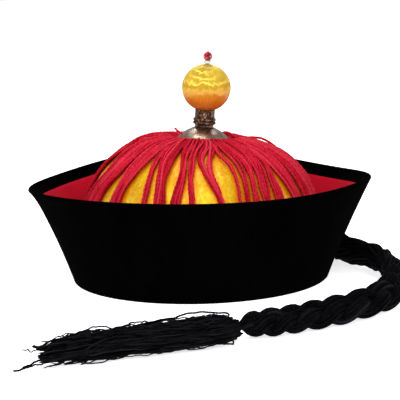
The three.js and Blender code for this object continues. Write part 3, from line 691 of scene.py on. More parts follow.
def lobe_count(distance):
    """How many lobes lie between the tie and a distance from it: they grow away from the tie
    until they are as long as they get."""
    growing = math.log(LOBE_LONGEST / LOBE_AT_TIE) / LOBE_GROWTH
    near = (LOBE_LONGEST - LOBE_AT_TIE) / LOBE_GROWTH
    close = np.log(1 + LOBE_GROWTH * np.minimum(distance, near) / LOBE_AT_TIE) / LOBE_GROWTH
    return np.where(distance < near, close, growing + (distance - near) / LOBE_LONGEST)


braid_line = smooth_line([(x, y, 0) for x, y in BRAID_ROUTE])
braid_total = length_along(braid_line)[-1]


def plait_frames(rows):
    """The plait at evenly spaced rows from the hat to the tie: each one's distance from the tie,
    its middle, its directions across and over, its size, and how far its strands are drawn
    together. Size and roll change evenly with the length, and the middle is as high as the solid
    plait's half sizes need to lie on the surface."""
    distance = np.linspace(braid_total, 0, rows)
    share = 1 - distance / braid_total
    size = ROOT_SIZE + (1 - ROOT_SIZE) * share
    roll = np.radians(ROLL_AT_ROOT + (ROLL_AT_TIE - ROLL_AT_ROOT) * share)
    sine, cosine = np.sin(roll), np.cos(roll)
    strand = np.hypot(STRAND_REACH_WIDE * sine, STRAND_REACH_THICK * cosine)
    middle = at_length(braid_line, braid_total - distance)
    middle[:, 2] = GAP + (PLAIT_REACH_WIDE * sine + PLAIT_REACH_THICK * cosine + strand) * size
    along = unit(np.gradient(middle, axis=0))
    side = unit(np.cross(along, (0, 0, 1)))
    up = np.cross(side, along)
    across = side * cosine[:, None] + up * sine[:, None]
    over = up * cosine[:, None] - side * sine[:, None]
    at_root = np.minimum(1, (braid_total - distance) / ROOT_LENGTH)
    at_neck = np.minimum(1, distance / NECK_LENGTH) ** 0.7
    gathered = np.minimum(
        ROOT_SHARE + (1 - ROOT_SHARE) * at_root, NECK_SHARE + (1 - NECK_SHARE) * at_neck
    )
    return distance, middle, across, over, size, gathered


def braid_yarns(rows=290, each=14, sides=6):
    """Three strands of yarns. Each strand's middle swings across as the sine of the plait's
    phase and over as the sine of twice it, and its yarns lie in a ring that turns slowly, round
    one thick yarn that fills it. Far from the tie the swing dies away and the ring swells."""
    distance, middle, across, over, size, gathered = plait_frames(rows)
    paths, sideways, radii = [], [], []
    for k in range(3):
        phase = TURN * (PLAIT_PHASE - lobe_count(distance) / 3 + k / 3)
        loose = np.clip((distance - LOOSE_FROM) / LOOSE_LENGTH, 0, 1)
        full = 1 + LOOSE_SWELL * loose
        reach = (size * gathered * (1 - LOOSE_CALM * loose))[:, None]
        strand = middle + across * (PLAIT_WIDE * np.sin(phase))[:, None] * reach
        strand = strand + over * (PLAIT_THICK * np.sin(2 * phase))[:, None] * reach
        along = unit(np.gradient(strand, axis=0))
        flat = unit(across - np.sum(across * along, -1, keepdims=True) * along)
        upright = np.cross(along, flat)
        yarn_radius = size * np.maximum(gathered, 0.75)
        ring = STRAND_RADIUS * size * gathered * full - yarn_radius
        angle = (np.arange(each) / each * TURN)[:, None] + TURN * distance / STRAND_TURN
        angle = angle + wander(each, rows, 0.16, 5)
        spread = ring * (1 + wander(each, rows, 0.06, 7))
        out = np.cos(angle)[..., None] * flat + np.sin(angle)[..., None] * upright
        paths.append(strand + out * spread[..., None])
        paths.append(strand[None])
        sideways.append(np.broadcast_to(flat, (each + 1, rows, 3)))
        radii.append(np.broadcast_to(yarn_radius, (each, rows)))
        radii.append(np.maximum(ring, 0.4)[None])
    paths = np.concatenate(paths)
    radii = np.concatenate(radii) * rounded_ends(rows, len(paths))
    paths[..., 2] = np.maximum(paths[..., 2], radii + 0.25)
    phases = chance.uniform(0, TURN, len(paths))
    rings, length = tubes(paths, np.concatenate(sideways), radii, sides, phase=phases)
    tone = np.clip(chance.normal(0.36, 0.2, len(paths)), 0, 1)
    return tube_piece("braid_yarns", rings, length, 2.2, tone)


plait_line = plait_frames(PLAIT_ROWS)[1]


def tie_axis():
    """The tie's start and direction: the braid's end, and the way that it points there."""
    ahead = plait_line[-1] - plait_line[-2]
    return plait_line[-1], unit(np.array([ahead[0], ahead[1], 0.0]))


tie_start, tie_along = tie_axis()


def wrapping(name, start, along, length, radius, thread, turns):
    """A thread wound round a bundle, from the radius of its circle and the thread's own: a screw
    line whose turns lie side by side, not quite evenly, with its two ends tucked in."""
    side = unit(np.cross(along, (0, 0, 1)))
    up = np.cross(side, along)
    s = np.linspace(0, 1, turns * 26)
    angle = TURN * turns * s
    out = np.cos(angle)[:, None] * side + np.sin(angle)[:, None] * up
    reach = radius * (1 - 0.35 * np.exp(-s * 40) - 0.35 * np.exp(-(1 - s) * 40))
    reach = reach + 0.12 * np.sin(angle * 0.37 + 1)
    slip = length * (0.06 + 0.88 * s) + 0.15 * np.sin(angle * 0.61)
    path = start + along * slip[:, None] + out * reach[:, None]
    radii = thread * rounded_ends(len(s), 1)
    rings, walked = tubes(path[None], out[None], radii, 8, plies=2, depth=0.22, turn_length=3.2)
    return tube_piece(name, rings, walked, 2 * thread, np.array([0.55]))


def tassel_line():
    """The tassel's middle line: out of the tie, then along its route on the resting surface."""
    points = [tie_start + tie_along * d for d in (0.8, 4.6, 8.6)]
    last = 2 * np.array(TASSEL_ROUTE[-1], float) - TASSEL_ROUTE[-2]
    return smooth_line(np.vstack([points, TASSEL_ROUTE, [last]]))


def tassel_yarns(name, count, rows, thick, inner, outer, swing, sides):
    """Yarns spread over an oval by the golden angle, between an inner and an outer share of it.
    They are gathered in the tie, swell at once into a bulb, and run along the tassel with swings
    of their own, slow ones and quick ones, to uneven ends."""
    line = tassel_line()
    total = length_along(line)[-1] - 14
    k = np.arange(count)
    angle = k * GOLDEN_ANGLE
    out = np.sqrt(inner**2 + (outer**2 - inner**2) * (k + 0.5) / count)[:, None]
    ends = chance.uniform(0.86, 1.06, count)
    ends[::7] = chance.uniform(0.74, 0.9, len(ends[::7]))
    s = np.linspace(0, 1, rows)[None, :] ** 1.15
    walked = s * total * ends[:, None]
    middle = at_length(line, walked)
    along = unit(np.gradient(middle, axis=1))
    side = unit(np.cross(along, (0, 0, 1)))
    up = np.cross(side, along)
    opened = np.interp(walked, *np.array(TASSEL_SWELL).T)
    free = np.clip((walked - 5) / 25, 0, 1) * (1 + 1.2 * np.clip((walked - 90) / 20, 0, 1))
    turned = angle[:, None] + wander(count, rows, 0.22, 1.4) * free
    swings = wander(count, rows, swing, 2.6) + wander(count, rows, 0.4 * swing, 8)
    across = TASSEL_WIDE * out * opened + swings * free
    swings = wander(count, rows, swing, 2.4) + wander(count, rows, 0.4 * swing, 8)
    raised = TASSEL_THICK * out * opened + swings * free
    paths = middle + side * (across * np.cos(turned))[..., None] + up * (raised * np.sin(turned))[..., None]
    radii = thick * chance.uniform(0.75, 1.1, (count, 1)) * rounded_ends(rows, count)
    radii = radii * np.interp(walked, [0, 4.5, 10], [0.62, 0.66, 1.0])
    paths[..., 2] = np.maximum(paths[..., 2], radii + 0.35)
    phases = chance.uniform(0, TURN, count)
    rings, length = tubes(paths, side, radii, sides, turn_length=14, phase=phases)
    tone = np.clip(chance.normal(0.62, 0.3, count), 0, 1)
    return tube_piece(name, rings, length, 2.0, tone)


# Loose yarns of the tassel: points that each one passes, and its radius.
TASSEL_STRAYS = [
    (0.64, [(16, -197, 15), (17, -199, 18.2), (11, -200, 19.6), (2, -200.5, 20.2), (-7, -202, 20),
            (-17, -208, 19.4), (-28, -215, 19), (-42, -221, 17.4)]),
    (0.52, [(14, -203, 16), (12, -206, 18.9), (6, -206, 19.6), (-3, -207, 19), (-14, -213, 18.2)]),
    (0.72, [(-60, -228, 17), (-68, -231, 17.9), (-76, -235, 17), (-84, -240, 15), (-94, -243, 12.2),
           (-97.5, -241, 11.6), (-100, -236, 11), (-99.5, -231, 9.6), (-97, -230, 8.6), (-96.5, -233, 8.4)]),
    (0.42, [(-88, -241, 13), (-95, -243.5, 11.8), (-101.5, -234, 7.4), (-105, -222, 5), (-108, -214, 3),
           (-110.7, -208.5, 1.2)]),
    (0.66, [(-84, -243, 7), (-93, -243.6, 5.6), (-99, -244.6, 3.4), (-103.5, -246.5, 2), (-106.6, -253, 1.4),
           (-110.4, -251.6, 1.2)]),
    (0.55, [(-82, -245, 6), (-90, -245.5, 4.4), (-97, -245.6, 2.4), (-103, -247, 1.4), (-106, -249, 1.2)]),
    (0.60, [(20, -199.5, 8), (17, -207, 8), (15, -214, 7), (13.6, -218, 6), (10, -219, 5.4), (7, -217, 5)]),
    (0.56, [(16, -204, 6), (17, -213, 6), (19.2, -219, 6), (17.5, -221.6, 5.6), (13, -220, 5),
            (9, -216, 4.4)]),
    (0.52, [(-30, -212, 16), (-35, -213, 18.4), (-42, -216, 18.6), (-50, -221, 17.2)]),
    (0.52, [(-52, -220, 16), (-60, -221, 18.2), (-70, -226, 17.6), (-80, -233, 15.6), (-90, -238, 12.4)]),
]


def stray_yarns(name, table, loose, rows=70, sides=6):
    """Loose yarns, each along its own smooth line, with small swings as large as it is loose."""
    paths = []
    for _, points in table:
        line = smooth_line(points)
        paths.append(at_length(line, np.linspace(0, length_along(line)[-1], rows)))
    paths = np.array(paths)
    free = np.sin(np.linspace(0, math.pi, rows)) ** 0.5 * loose
    for k in range(3):
        paths[..., k] += wander(len(table), rows, 0.4, 5) * free
    upward = np.broadcast_to((0.13, 0.29, 0.95), paths.shape)
    radii = np.array([radius for radius, _ in table])[:, None] * rounded_ends(rows, len(table))
    rings, length = tubes(paths, upward, radii, sides, turn_length=12)
    return tube_piece(name, rings, length, 1.4, chance.uniform(0.3, 0.8, len(table)))


braid = black_thread.on(braid_yarns(), "black_yarn")
tie = wrapping(
    "tie_wrapping", tie_start, tie_along, length=TIE_LENGTH, radius=3.95, thread=0.62, turns=5
)
black_thread.on(tie, "black_yarn")
root_middle = plait_line[0]
root_along = unit(plait_line[3] - root_middle)
root_start = root_middle + root_along * 0.6
root_tie = wrapping(
    "root_wrapping", root_start, root_along, length=4.6, radius=5.1, thread=0.6, turns=5
)
black_thread.on(root_tie, "black_yarn")
tassel = tassel_yarns(
    "tassel_yarns", count=150, rows=72, thick=0.85, inner=0, outer=1, swing=0.8, sides=6
)
black_thread.on(tassel, "black_yarn")
frizz = tassel_yarns(
    "tassel_frizz", count=60, rows=100, thick=0.42, inner=0.9, outer=1.15, swing=1.6, sides=5
)
black_thread.on(frizz, "black_yarn")
tassel_loose = black_thread.on(stray_yarns("tassel_strays", TASSEL_STRAYS, loose=1), "black_yarn")
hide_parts("braid")
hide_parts("braid_tie")
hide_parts("tassel")
for made in (braid, tie, root_tie, tassel, frizz, tassel_loose):
    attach(made, "root")
braid_path = plait_frames(CORD_ROWS)[1] * MM


# Brim and its lining


def rim_height(angle):
    """The top edge's height round the hat: its mean, and the waves of the table added up."""
    total = np.full_like(angle, RIM_HEIGHT)
    for count, cosine, sine in RIM_WAVES:
        total = total + cosine * np.cos(count * angle) + sine * np.sin(count * angle)
    return total


def brim_radius(share, angle):
    """The brim's outside radius at a share of its height: it flares upwards, falls in between
    its edges on the -X side, and stands forward at the foot of its front."""
    sag = SAG * share**0.9 * (1 - share**14) * np.maximum(0, -np.cos(angle)) ** 2
    base = BAND_RADIUS + BASE_SHIFT * (1 - share) ** 3 * np.maximum(0, -np.sin(angle))
    return base + (RIM_RADIUS - BAND_RADIUS) * (share * (1 - FLARE) + FLARE * share**2) - sag


def facing_depth(angle):
    """How far the turned facing reaches down from the top edge: less on the -X side."""
    return FACING_DEPTH - FACING_LESS * np.maximum(0, -np.cos(angle))


def arc(middle, radius, first, last, count):
    """Points of an arc about a middle, as (radius, height) offsets for each angle row."""
    a = np.radians(np.linspace(first, last, count))[None, :]
    return np.stack([middle[0] + radius * np.cos(a), middle[1] + radius * np.sin(a)], -1)


def brim_velvet(turns=300):
    """The brim's section, carried round: up the flared outside, over the rolled edge, down the
    turned facing to its rounded hem, and down behind the lining to the bottom lip. Slow waves
    round the wall make it a little uneven, by a sine of the height that is nothing at its edges."""
    angle = (np.arange(turns) / turns * TURN)[:, None]
    top = rim_height(angle)
    deep = facing_depth(angle)
    roll = FOLD_WALL / 2
    cloth = waves(angle, [(3, 0.16, 0.4), (7, 0.14, 1.1), (11, 0.1, 2.3)])

    def wall(heights, inwards):
        """The wall's outside at these heights, moved inwards, with its slow waves."""
        soft = cloth * np.sin(np.clip(heights / top, 0, 1) * math.pi)
        return np.stack([brim_radius(heights / top, angle) - inwards + soft, heights], -1)

    outside = EDGE_ROUND + (top - roll - EDGE_ROUND) * np.linspace(0, 1, 34)[None, :]
    fold = arc((brim_radius(1 - roll / top, angle) - roll, top - roll), roll, 12, 168, 11)
    facing = top - roll - (deep - roll - HEM_ROUND) * np.linspace(0, 1, 8)[None, :]
    hem_middle = brim_radius(1 - deep / top, angle) - FOLD_WALL + HEM_ROUND
    hem = arc((hem_middle, top - deep + HEM_ROUND), HEM_ROUND, 190, 268, 5)
    step = (top - deep) * np.ones((1, 3))
    under = wall(step, np.linspace(FOLD_WALL - 1.0, BRIM_WALL, 3)[None, :])
    inside = LIP_HEIGHT + (top - deep - 0.4 - LIP_HEIGHT) * np.linspace(1, 0, 20)[None, :]
    lip = np.linspace(0, 1, 5)[None, :] * np.ones_like(angle)
    lip_reach = brim_radius(LIP_HEIGHT / top, angle) * (1 - lip) + LIP_RADIUS * lip - BRIM_WALL * (1 - lip)
    lip_top = np.stack([lip_reach, LIP_HEIGHT + 0 * lip], -1)[:, 1:]
    lip_edge = arc((LIP_RADIUS + EDGE_ROUND + 0 * angle, EDGE_ROUND + 0 * angle), EDGE_ROUND, 180, 270, 4)
    base = brim_radius(0, angle) - EDGE_ROUND
    band_edge = arc((base, EDGE_ROUND + 0 * angle), EDGE_ROUND, 270, 345, 4)
    lining_side = [wall(facing, FOLD_WALL), hem, under, wall(inside, BRIM_WALL)]
    section = [wall(outside, 0), fold, *lining_side, lip_top, lip_edge, band_edge]
    return ring_piece("brim_velvet", np.concatenate(section, 1))


def brim_felt(turns=280):
    """The lining's section, carried round: a sheet of felt against the brim's inner face, whose
    own face is a little uneven by two slanting waves."""
    angle = (np.arange(turns) / turns * TURN)[:, None]
    top = rim_height(angle)
    tall = top - facing_depth(angle) - GAP - LINING_BOTTOM
    heights = LINING_BOTTOM + tall * np.linspace(0, 1, 26)[None, :]
    back = brim_radius(heights / top, angle) - BRIM_WALL - GAP
    soft = 0.12 * np.sin(5 * angle + heights * 0.09) + 0.1 * np.sin(13 * angle - heights * 0.06)
    outer = np.stack([back, heights], -1)
    inner = np.stack([back - LINING_WALL + soft - 0.1, heights], -1)[:, ::-1]
    return ring_piece("brim_felt", np.concatenate([outer, inner], 1))


# Crown


def crown_outline(inset, count):
    """The crown's outline from its bottom edge to the eyelet: a squared ellipse of radius and
    height, less a bell-shaped dimple in the middle."""
    bottom = LIP_HEIGHT + GAP
    radius, height = CROWN_RADIUS - inset, CROWN_HEIGHT - inset
    start = math.asin((bottom / height) ** (CROWN_POWER / 2))
    end = math.acos((EYELET_RADIUS / radius) ** (CROWN_POWER / 2))
    a = np.linspace(start, end, count)
    r = radius * np.cos(a) ** (2 / CROWN_POWER)
    return r, height * np.sin(a) ** (2 / CROWN_POWER) - DIMPLE * np.exp(-((r / DIMPLE_RADIUS) ** 2))


def leaned(points):
    """The crown and the fringe lean: each point moves to +X by the square of its height, and
    gets lower the further it is to +X."""
    x = points[..., 0] + TOP_SHIFT * np.minimum(1, points[..., 2] / LEAN_HEIGHT) ** 2
    return np.stack([x, points[..., 1], points[..., 2] * (1 - TOP_SLOPE * x)], -1)


def painted_red_bounce(angle, r):
    """How much painted red light, bounced from the yarn, the satin takes: all of it under the
    bundles, and less with the distance into a gap from its nearer edge, down to none at the reach
    of the painted bounce."""
    inside = np.full((len(angle), len(r)), -1.0)
    for edges in gap_edges():
        left, right = (np.interp(r, GAP_RADII, edges[:, side]) for side in (0, 1))
        away = np.abs((angle - (left + right) / 2 + math.pi) % TURN - math.pi)
        inside = np.maximum(inside, ((right - left) / 2 - away) * r)
    return np.clip(1 - inside / PAINTED_BOUNCE_REACH, 0, 1)


def crown_satin(turns=240):
    """The crown's outline, carried round, with soft gathers that run from the button outwards
    and die away down the side. Its inner face is plain. Its tone is painted red light, bounced
    from the yarn, beside the bundles."""
    angle = (np.arange(turns) / turns * TURN)[:, None]
    r, z = crown_outline(0, 90)
    gathers = waves(angle, [(23, 0.2, 0.3), (37, 0.16, 1.9), (61, 0.1, 4.1)])
    creases = waves(angle, [(9, 0.16, 2.0), (17, 0.12, 5.1)])
    depth = gathers * np.exp(-(((r - 52) / 34) ** 2)) * np.clip(r / 12 - 0.4, 0, 1)
    depth = depth + creases * np.clip(z / 60, 0, 1) * np.clip(r / 30 - 1, 0, 1)
    slope = np.arctan2(np.gradient(z), -np.gradient(r))
    outer = np.stack([r + (depth - 0.12) * np.sin(slope), z + (depth - 0.12) * np.cos(slope)], -1)
    ri, zi = crown_outline(CROWN_WALL, 40)
    inner = np.stack([ri + 0 * angle, zi + 0 * angle], -1)[:, ::-1]
    # The tone: painted red light bounced from the yarn, on the outer face only.
    tone = np.pad(painted_red_bounce(angle, r), ((0, 0), (0, len(ri))))
    return ring_piece("crown_satin", np.concatenate([outer, inner], 1), leaned, tone)


# Fringe


def crown_walk():
    """The crown's outline from the eyelet outwards: its radius, height and slope, and a
    progress that grows by one in 60 millimetres and in each radian that the outline bends."""
    r, z = (values[::-1] for values in crown_outline(0, 600))
    step = np.hypot(np.diff(r), np.diff(z))
    slope = np.arctan2(-np.diff(z), np.diff(r))
    bend = np.concatenate([[0], np.abs(np.diff(slope))])
    progress = np.concatenate([[0], np.cumsum(step / 60 + bend)])
    return r, z, np.concatenate([[slope[0]], slope]), progress


def gap_edges():
    """Every gap's left and right edge in radians at each of the listed radii, in order round
    the hat. A back gap opens from its tip by the square root of the distance below it."""
    rows = [np.array(gap, float) for gap in FRONT_GAPS]
    for middle, width, tip in BACK_GAPS:
        half = width / 2 * np.sqrt(np.clip((GAP_RADII - tip) / (GAP_RADII[-1] - tip), 0, 1))
        rows.append(np.stack([middle - half, middle + half], -1))
    return np.radians(np.array(rows))


def evened(angles):
    """Angles drawn towards the mean of their neighbours, which spreads them evenly: each becomes
    the mean of itself and the eight on either side, twice over, and past the first and the last
    they go on as their mirror image. Also each one's place in order round the hat."""
    order = np.argsort(np.argsort(angles))
    line = np.sort(angles)
    reach = 8
    for _ in range(2):
        before = 2 * line[0] - line[reach:0:-1]
        after = 2 * line[-1] - line[-2:-reach - 2:-1]
        padded = np.concatenate([before, line, after])
        line = np.convolve(padded, np.full(2 * reach + 1, 1 / (2 * reach + 1)), "valid")
    return line[order], order


def eased(lines, reach):
    """Each line's values drawn smooth: every value becomes the mean of those up to a reach
    before and after it, twice over, and the ends count as going on unchanged."""
    width = 2 * reach + 1
    for _ in range(2):
        before, after = np.repeat(lines[:, :1], reach + 1, 1), np.repeat(lines[:, -1:], reach, 1)
        total = np.cumsum(np.concatenate([before, lines, after], 1), 1)
        lines = (total[:, width:] - total[:, :-width]) / width
    return lines


def bundle_edges():
    """Every bundle's left and right edge in radians at each of the listed radii: the right edge
    of the gap before it, and the left edge of the gap after it."""
    edges = gap_edges()
    left, right = edges[:, :, 1], np.roll(edges[:, :, 0], -1, 0)
    right[-1] += TURN
    return left, right


def bundled(first, last):
    """The yarns of the bundles from first to last: each one's bundle, its share of the way across
    it, and 1 for the upper layer or 0 for the lower. The upper yarns lie side by side where the
    bundle is widest, and the lower ones in the furrows between them and anywhere by chance."""
    left, right = bundle_edges()
    table = []
    for index in range(first, last):
        width = np.max((right[index] - left[index])[3:] * GAP_RADII[3:])
        count = max(1, round((width - 0.2) / YARN_SPACING))
        lower = [k + 0.5 for k in range(count - 1) if chance.random() < FURROW_SHARE]
        lower = lower + (chance.random((count + 1) // 2) * (count - 1)).tolist()
        for k, layer in [(k, 1) for k in range(count)] + [(k, 0) for k in lower]:
            table.append((index, k / (count - 1) if count > 1 else 0.5, layer))
    bundle, share, upper = np.array(table, float).T
    return bundle.astype(int), share[:, None], upper[:, None]


def yarn_angles(bundle, share, upper, r):
    """The yarns' angles round the hat at their radii r. Past a radius of 64 each keeps its share
    of its bundle's width. Within 34, by the cap, they spread evenly, and from 60 inwards some of
    the upper ones cross the others more and more. Each swings a little to either side. Their order
    round the hat and which ones cross come with the angles."""
    count, rows = r.shape
    left_edges, right_edges = bundle_edges()
    left = np.stack([np.interp(r[k], GAP_RADII, left_edges[b]) for k, b in enumerate(bundle)])
    right = np.stack([np.interp(r[k], GAP_RADII, right_edges[b]) for k, b in enumerate(bundle)])
    inset = np.minimum(YARN_RADIUS / r, (right - left) / 2)
    angle = eased(left + inset + (right - left - 2 * inset) * share, rows // 16)
    even, order = evened(angle[:, rows // 2])
    low_down = np.clip((r - 34) / 30, 0, 1)
    low_down = low_down**2 * (3 - 2 * low_down)
    angle = even[:, None] * (1 - low_down) + angle * low_down
    crosses = (chance.random((count, 1)) < CROSSING_SHARE) * upper
    astray = np.radians(chance.normal(0, CROSSING_ANGLE, (count, 1))) * crosses
    angle = angle + astray * np.clip((60 - r) / 36, 0, 1) ** 1.5
    swing = wander(count, rows, 0.75, 1.7) + wander(count, rows, 0.22, 6)
    swing = swing + chance.normal(0, 0.25, (count, 1)) * np.linspace(0, 1, rows)
    return angle + swing / r, order, crosses


def yarn_heights(angle, r, upper, order, crosses):
    """How far each yarn's middle stands off the crown. Near the cap neighbours lie at three
    levels between the crown and the fringe's outer face, and from a radius of 36 to 60 the upper
    layer is drawn to the face and the lower one to the crown. The face stands higher on the -X
    side and lower on the +X side, by a bell shape over the shoulder. A yarn that crosses others
    lies over them."""
    count, rows = r.shape
    away = np.clip(1 + np.sin(angle), 0, 1)
    front, back = (np.interp(r, *np.array(table, float).T) for table in (HEAD_RISE, BACK_RISE))
    top = front * (1 - away) + back * away
    top = top + LEFT_RISE * np.maximum(0, -np.cos(angle)) * np.exp(-(((r - 44) / 13) ** 2))
    top = top - RIGHT_FALL * np.maximum(0, np.cos(angle)) * np.exp(-(((r - 46) / 10) ** 2))
    level = LAYER_LEVELS[order % 3][:, None] + chance.uniform(-0.12, 0.08, (count, 1))
    steady = np.clip((r - 36) / 24, 0, 1)
    level = level * (1 - steady) + (0.6 * level + 0.4 * upper) * steady
    height = LOWEST_YARN + level * (top - LOWEST_YARN - YARN_RADIUS)
    height = height + 0.5 * crosses * np.clip((60 - r) / 30, 0, 1)
    return height + np.abs(wander(count, rows, 0.3, 2.2))


def fringe_yarns(name, first, last, rows, sides):
    """Twisted yarns from under the cap, over the shoulder and down the crown, for the bundles
    from first to last. Each follows the crown's outline at its own angle and height, from its own
    radius down to its own end. Its tone is a random shade of its own, with painted shade on the
    lower layer, a painted highlight along the crest of the yarn and painted shade at its sides,
    less so by the cap."""
    r_line, z_line, slope_line, progress_line = crown_walk()
    bundle, share, upper = bundled(first, last)
    count = len(bundle)
    is_upper = upper[:, 0] == 1
    upper_from, lower_from = (chance.uniform(*radii, count) for radii in (UPPER_START, LOWER_START))
    from_radius = np.where(is_upper, upper_from, lower_from)
    ends = chance.uniform(*YARN_FOOT, count)
    low = r_line > 66
    start = np.interp(from_radius, r_line, progress_line)[:, None]
    finish = np.interp(-ends, -z_line[low], progress_line[low])[:, None]
    progress = start + (finish - start) * np.linspace(0, 1, rows)
    r, z, slope = (np.interp(progress, progress_line, line) for line in (r_line, z_line, slope_line))
    angle, order, crosses = yarn_angles(bundle, share, upper, r)
    height = yarn_heights(angle, r, upper, order, crosses)
    radial = np.stack([np.cos(angle), np.sin(angle), 0 * angle], -1)
    side = np.stack([-np.sin(angle), np.cos(angle), 0 * angle], -1)
    out = radial * np.sin(slope)[..., None]
    out[..., 2] = np.cos(slope)
    paths = radial * r[..., None] + out * height[..., None]
    paths[..., 2] += z
    paths = leaned(paths)
    radii = YARN_RADIUS * chance.uniform(0.9, 1.06, (count, 1)) * rounded_ends(rows, count)
    phases = chance.uniform(0, TURN, count)
    rings, length = tubes(paths, side, radii, sides, depth=0.3, turn_length=YARN_PLY_TURN, phase=phases)
    # For the painted light in the tone: how far each ring point faces out from the crown.
    outwards = np.sum((rings - paths[:, :, None]) * out[:, :, None], -1) / radii[..., None]
    crest = np.clip(outwards + 0.15, 0, 1)
    # Painted shade on the lower layer, a painted highlight on each crest, painted shade at its sides.
    own = chance.normal(0.42, 0.36, count) - 0.2 * (1 - upper[:, 0])
    dark = 0.65 - 0.4 * np.clip((46 - r) / 20, 0, 1)
    tone = np.clip(own[:, None, None] + 0.5 * crest**4 - dark[..., None] * (1 - crest), 0, 1)
    return tube_piece(name, rings, length, 2.5, tone)


# Loose yarns at the top of the fringe: points that each one passes, and its radius.
FRINGE_STRAYS = [
    (0.8, [(-6, -6, 104.6), (-10, -5, 107.4), (-13.6, -3, 110.2), (-17.3, 0, 113)]),
    (1.2, [(12, 10, 103.6), (17, 8, 106.6), (21.6, 7, 107.8), (27, 8, 105), (31, 9.5, 102.6)]),
    (1.0, [(14, 7, 103), (18.4, 5.5, 107.4), (23, 7, 106.8), (28.5, 10, 104)]),
    (1.0, [(26, 14, 103), (36.2, 15, 102.6), (43.9, 15, 102.6), (49.3, 15.2, 101.4),
           (54.5, 15.6, 98.6), (60, 16, 94.6)]),
]


# Finial


def tilted(points):
    """The finial leans to +X: it is turned about a level line through the crown's eyelet."""
    tilt = math.radians(FINIAL_TILT)
    x, y, z = points[..., 0], points[..., 1], points[..., 2] - TILT_HEIGHT
    shifted = TOP_SHIFT + x * math.cos(tilt) + z * math.sin(tilt)
    raised = TILT_HEIGHT + z * math.cos(tilt) - x * math.sin(tilt)
    return np.stack([shifted, y, raised], -1)


def turned(name, profile, turns):
    """A turned piece: a closed section of (radius, height) carried round the finial's axis."""
    section = np.array(profile, float)
    return ring_piece(name, np.broadcast_to(section, (turns, *section.shape)), tilted)


def rounded(profile):
    """A closed section with its corners cut: each side keeps its middle part, twice over."""
    p = np.array(profile, float)
    for _ in range(2):
        after = np.roll(p, -1, 0)
        p = np.stack([p * 0.8 + after * 0.2, p * 0.2 + after * 0.8], 1).reshape(-1, 2)
    return p


def cap_metal():
    """A thin dome: it falls from the tube's foot in a line that bows outwards, by a sine and a
    square, with a faint groove over a rolled rim."""
    s = np.linspace(0, 1, 26)
    bend = np.sin(s * math.pi / 2)
    r = CAP_TOP_RADIUS + (CAP_RADIUS - CAP_TOP_RADIUS) * (bend * 0.3 + s * 0.7)
    z = CAP_TOP_HEIGHT - (CAP_TOP_HEIGHT - CAP_RIM_HEIGHT) * (s * 0.66 + s * s * 0.34)
    z = z - 0.25 * np.exp(-(((s - 0.9) / 0.05) ** 2))
    outer = np.stack([r, z], -1)
    a = np.radians(np.linspace(20, 200, 7))
    rim = np.stack([CAP_RADIUS - 0.35 + 0.45 * np.cos(a), CAP_RIM_HEIGHT - 0.35 - 0.45 * np.sin(a)], -1)
    inner = np.stack([r - CAP_WALL * 0.7, z - CAP_WALL * 0.9], -1)[::-1]
    top = [(BORE_RADIUS, CAP_TOP_HEIGHT - CAP_WALL), (BORE_RADIUS, CAP_TOP_HEIGHT)]
    return turned("cap_metal", np.concatenate([outer[:-1], rim, inner[2:], top]), 128)


def ball_seat(radius):
    """The height at which the ball, with its gap, has a radius below its middle."""
    return BALL_HEIGHT - BALL_FLAT * math.sqrt((BALL_RADIUS + GAP) ** 2 - radius**2)


def tube_metal(turns=220):
    """A tube with a neck below a collar of two half-round rings. Its wall carries crossed
    slanting grooves, the product of two waves that climb opposite ways, and the rings carry small
    beads, a wave that climbs slowly round them."""
    bottom = CAP_TOP_HEIGHT + GAP
    seat = ball_seat(TUBE_RADIUS)
    heights = np.linspace(bottom, seat, 80)
    upper = TUBE_RADIUS - 0.3
    steps = [bottom, COLLAR_BOTTOM - 0.5, COLLAR_BOTTOM, COLLAR_TOP, COLLAR_TOP + 0.5, seat]
    reach = [NECK_RADIUS, NECK_RADIUS, TUBE_RADIUS, TUBE_RADIUS, upper, upper]
    wall = np.interp(heights, steps, reach)
    for middle in COLLAR_RINGS:
        wall = wall + RING_REACH * np.sqrt(np.clip(1 - ((heights - middle) / RING_HALF) ** 2, 0, 1))
    angle = (np.arange(turns) / turns * TURN)[:, None]
    above_collar = np.clip((heights - COLLAR_TOP - 0.5) * 2, 0, 1)
    on_wall = above_collar * np.clip((seat - 0.5 - heights) * 3, 0, 1)
    round_tube, climb = TUBE_GROOVES * angle, heights * GROOVE_CLIMB
    grooves = np.sin(round_tube + climb) * np.sin(round_tube - climb)
    on_rings = sum(np.clip(1.3 - np.abs(heights - middle), 0, 1) for middle in COLLAR_RINGS)
    beads = np.sin(RING_BEADS * angle + heights * 1.2)
    wall = wall + 0.1 * grooves * on_wall + 0.12 * beads * on_rings
    outer = np.stack([wall, heights + 0 * angle], -1)
    mouth = TUBE_RADIUS - 1
    low_seat = ball_seat(mouth)
    rest = [(mouth, low_seat), (TUBE_BORE, low_seat - 1.5), (TUBE_BORE, bottom + 4), (TUBE_BORE, bottom)]
    inner = np.broadcast_to(np.array(rest, float), (turns, 4, 2))
    return ring_piece("tube_metal", np.concatenate([outer, inner], 1), tilted)


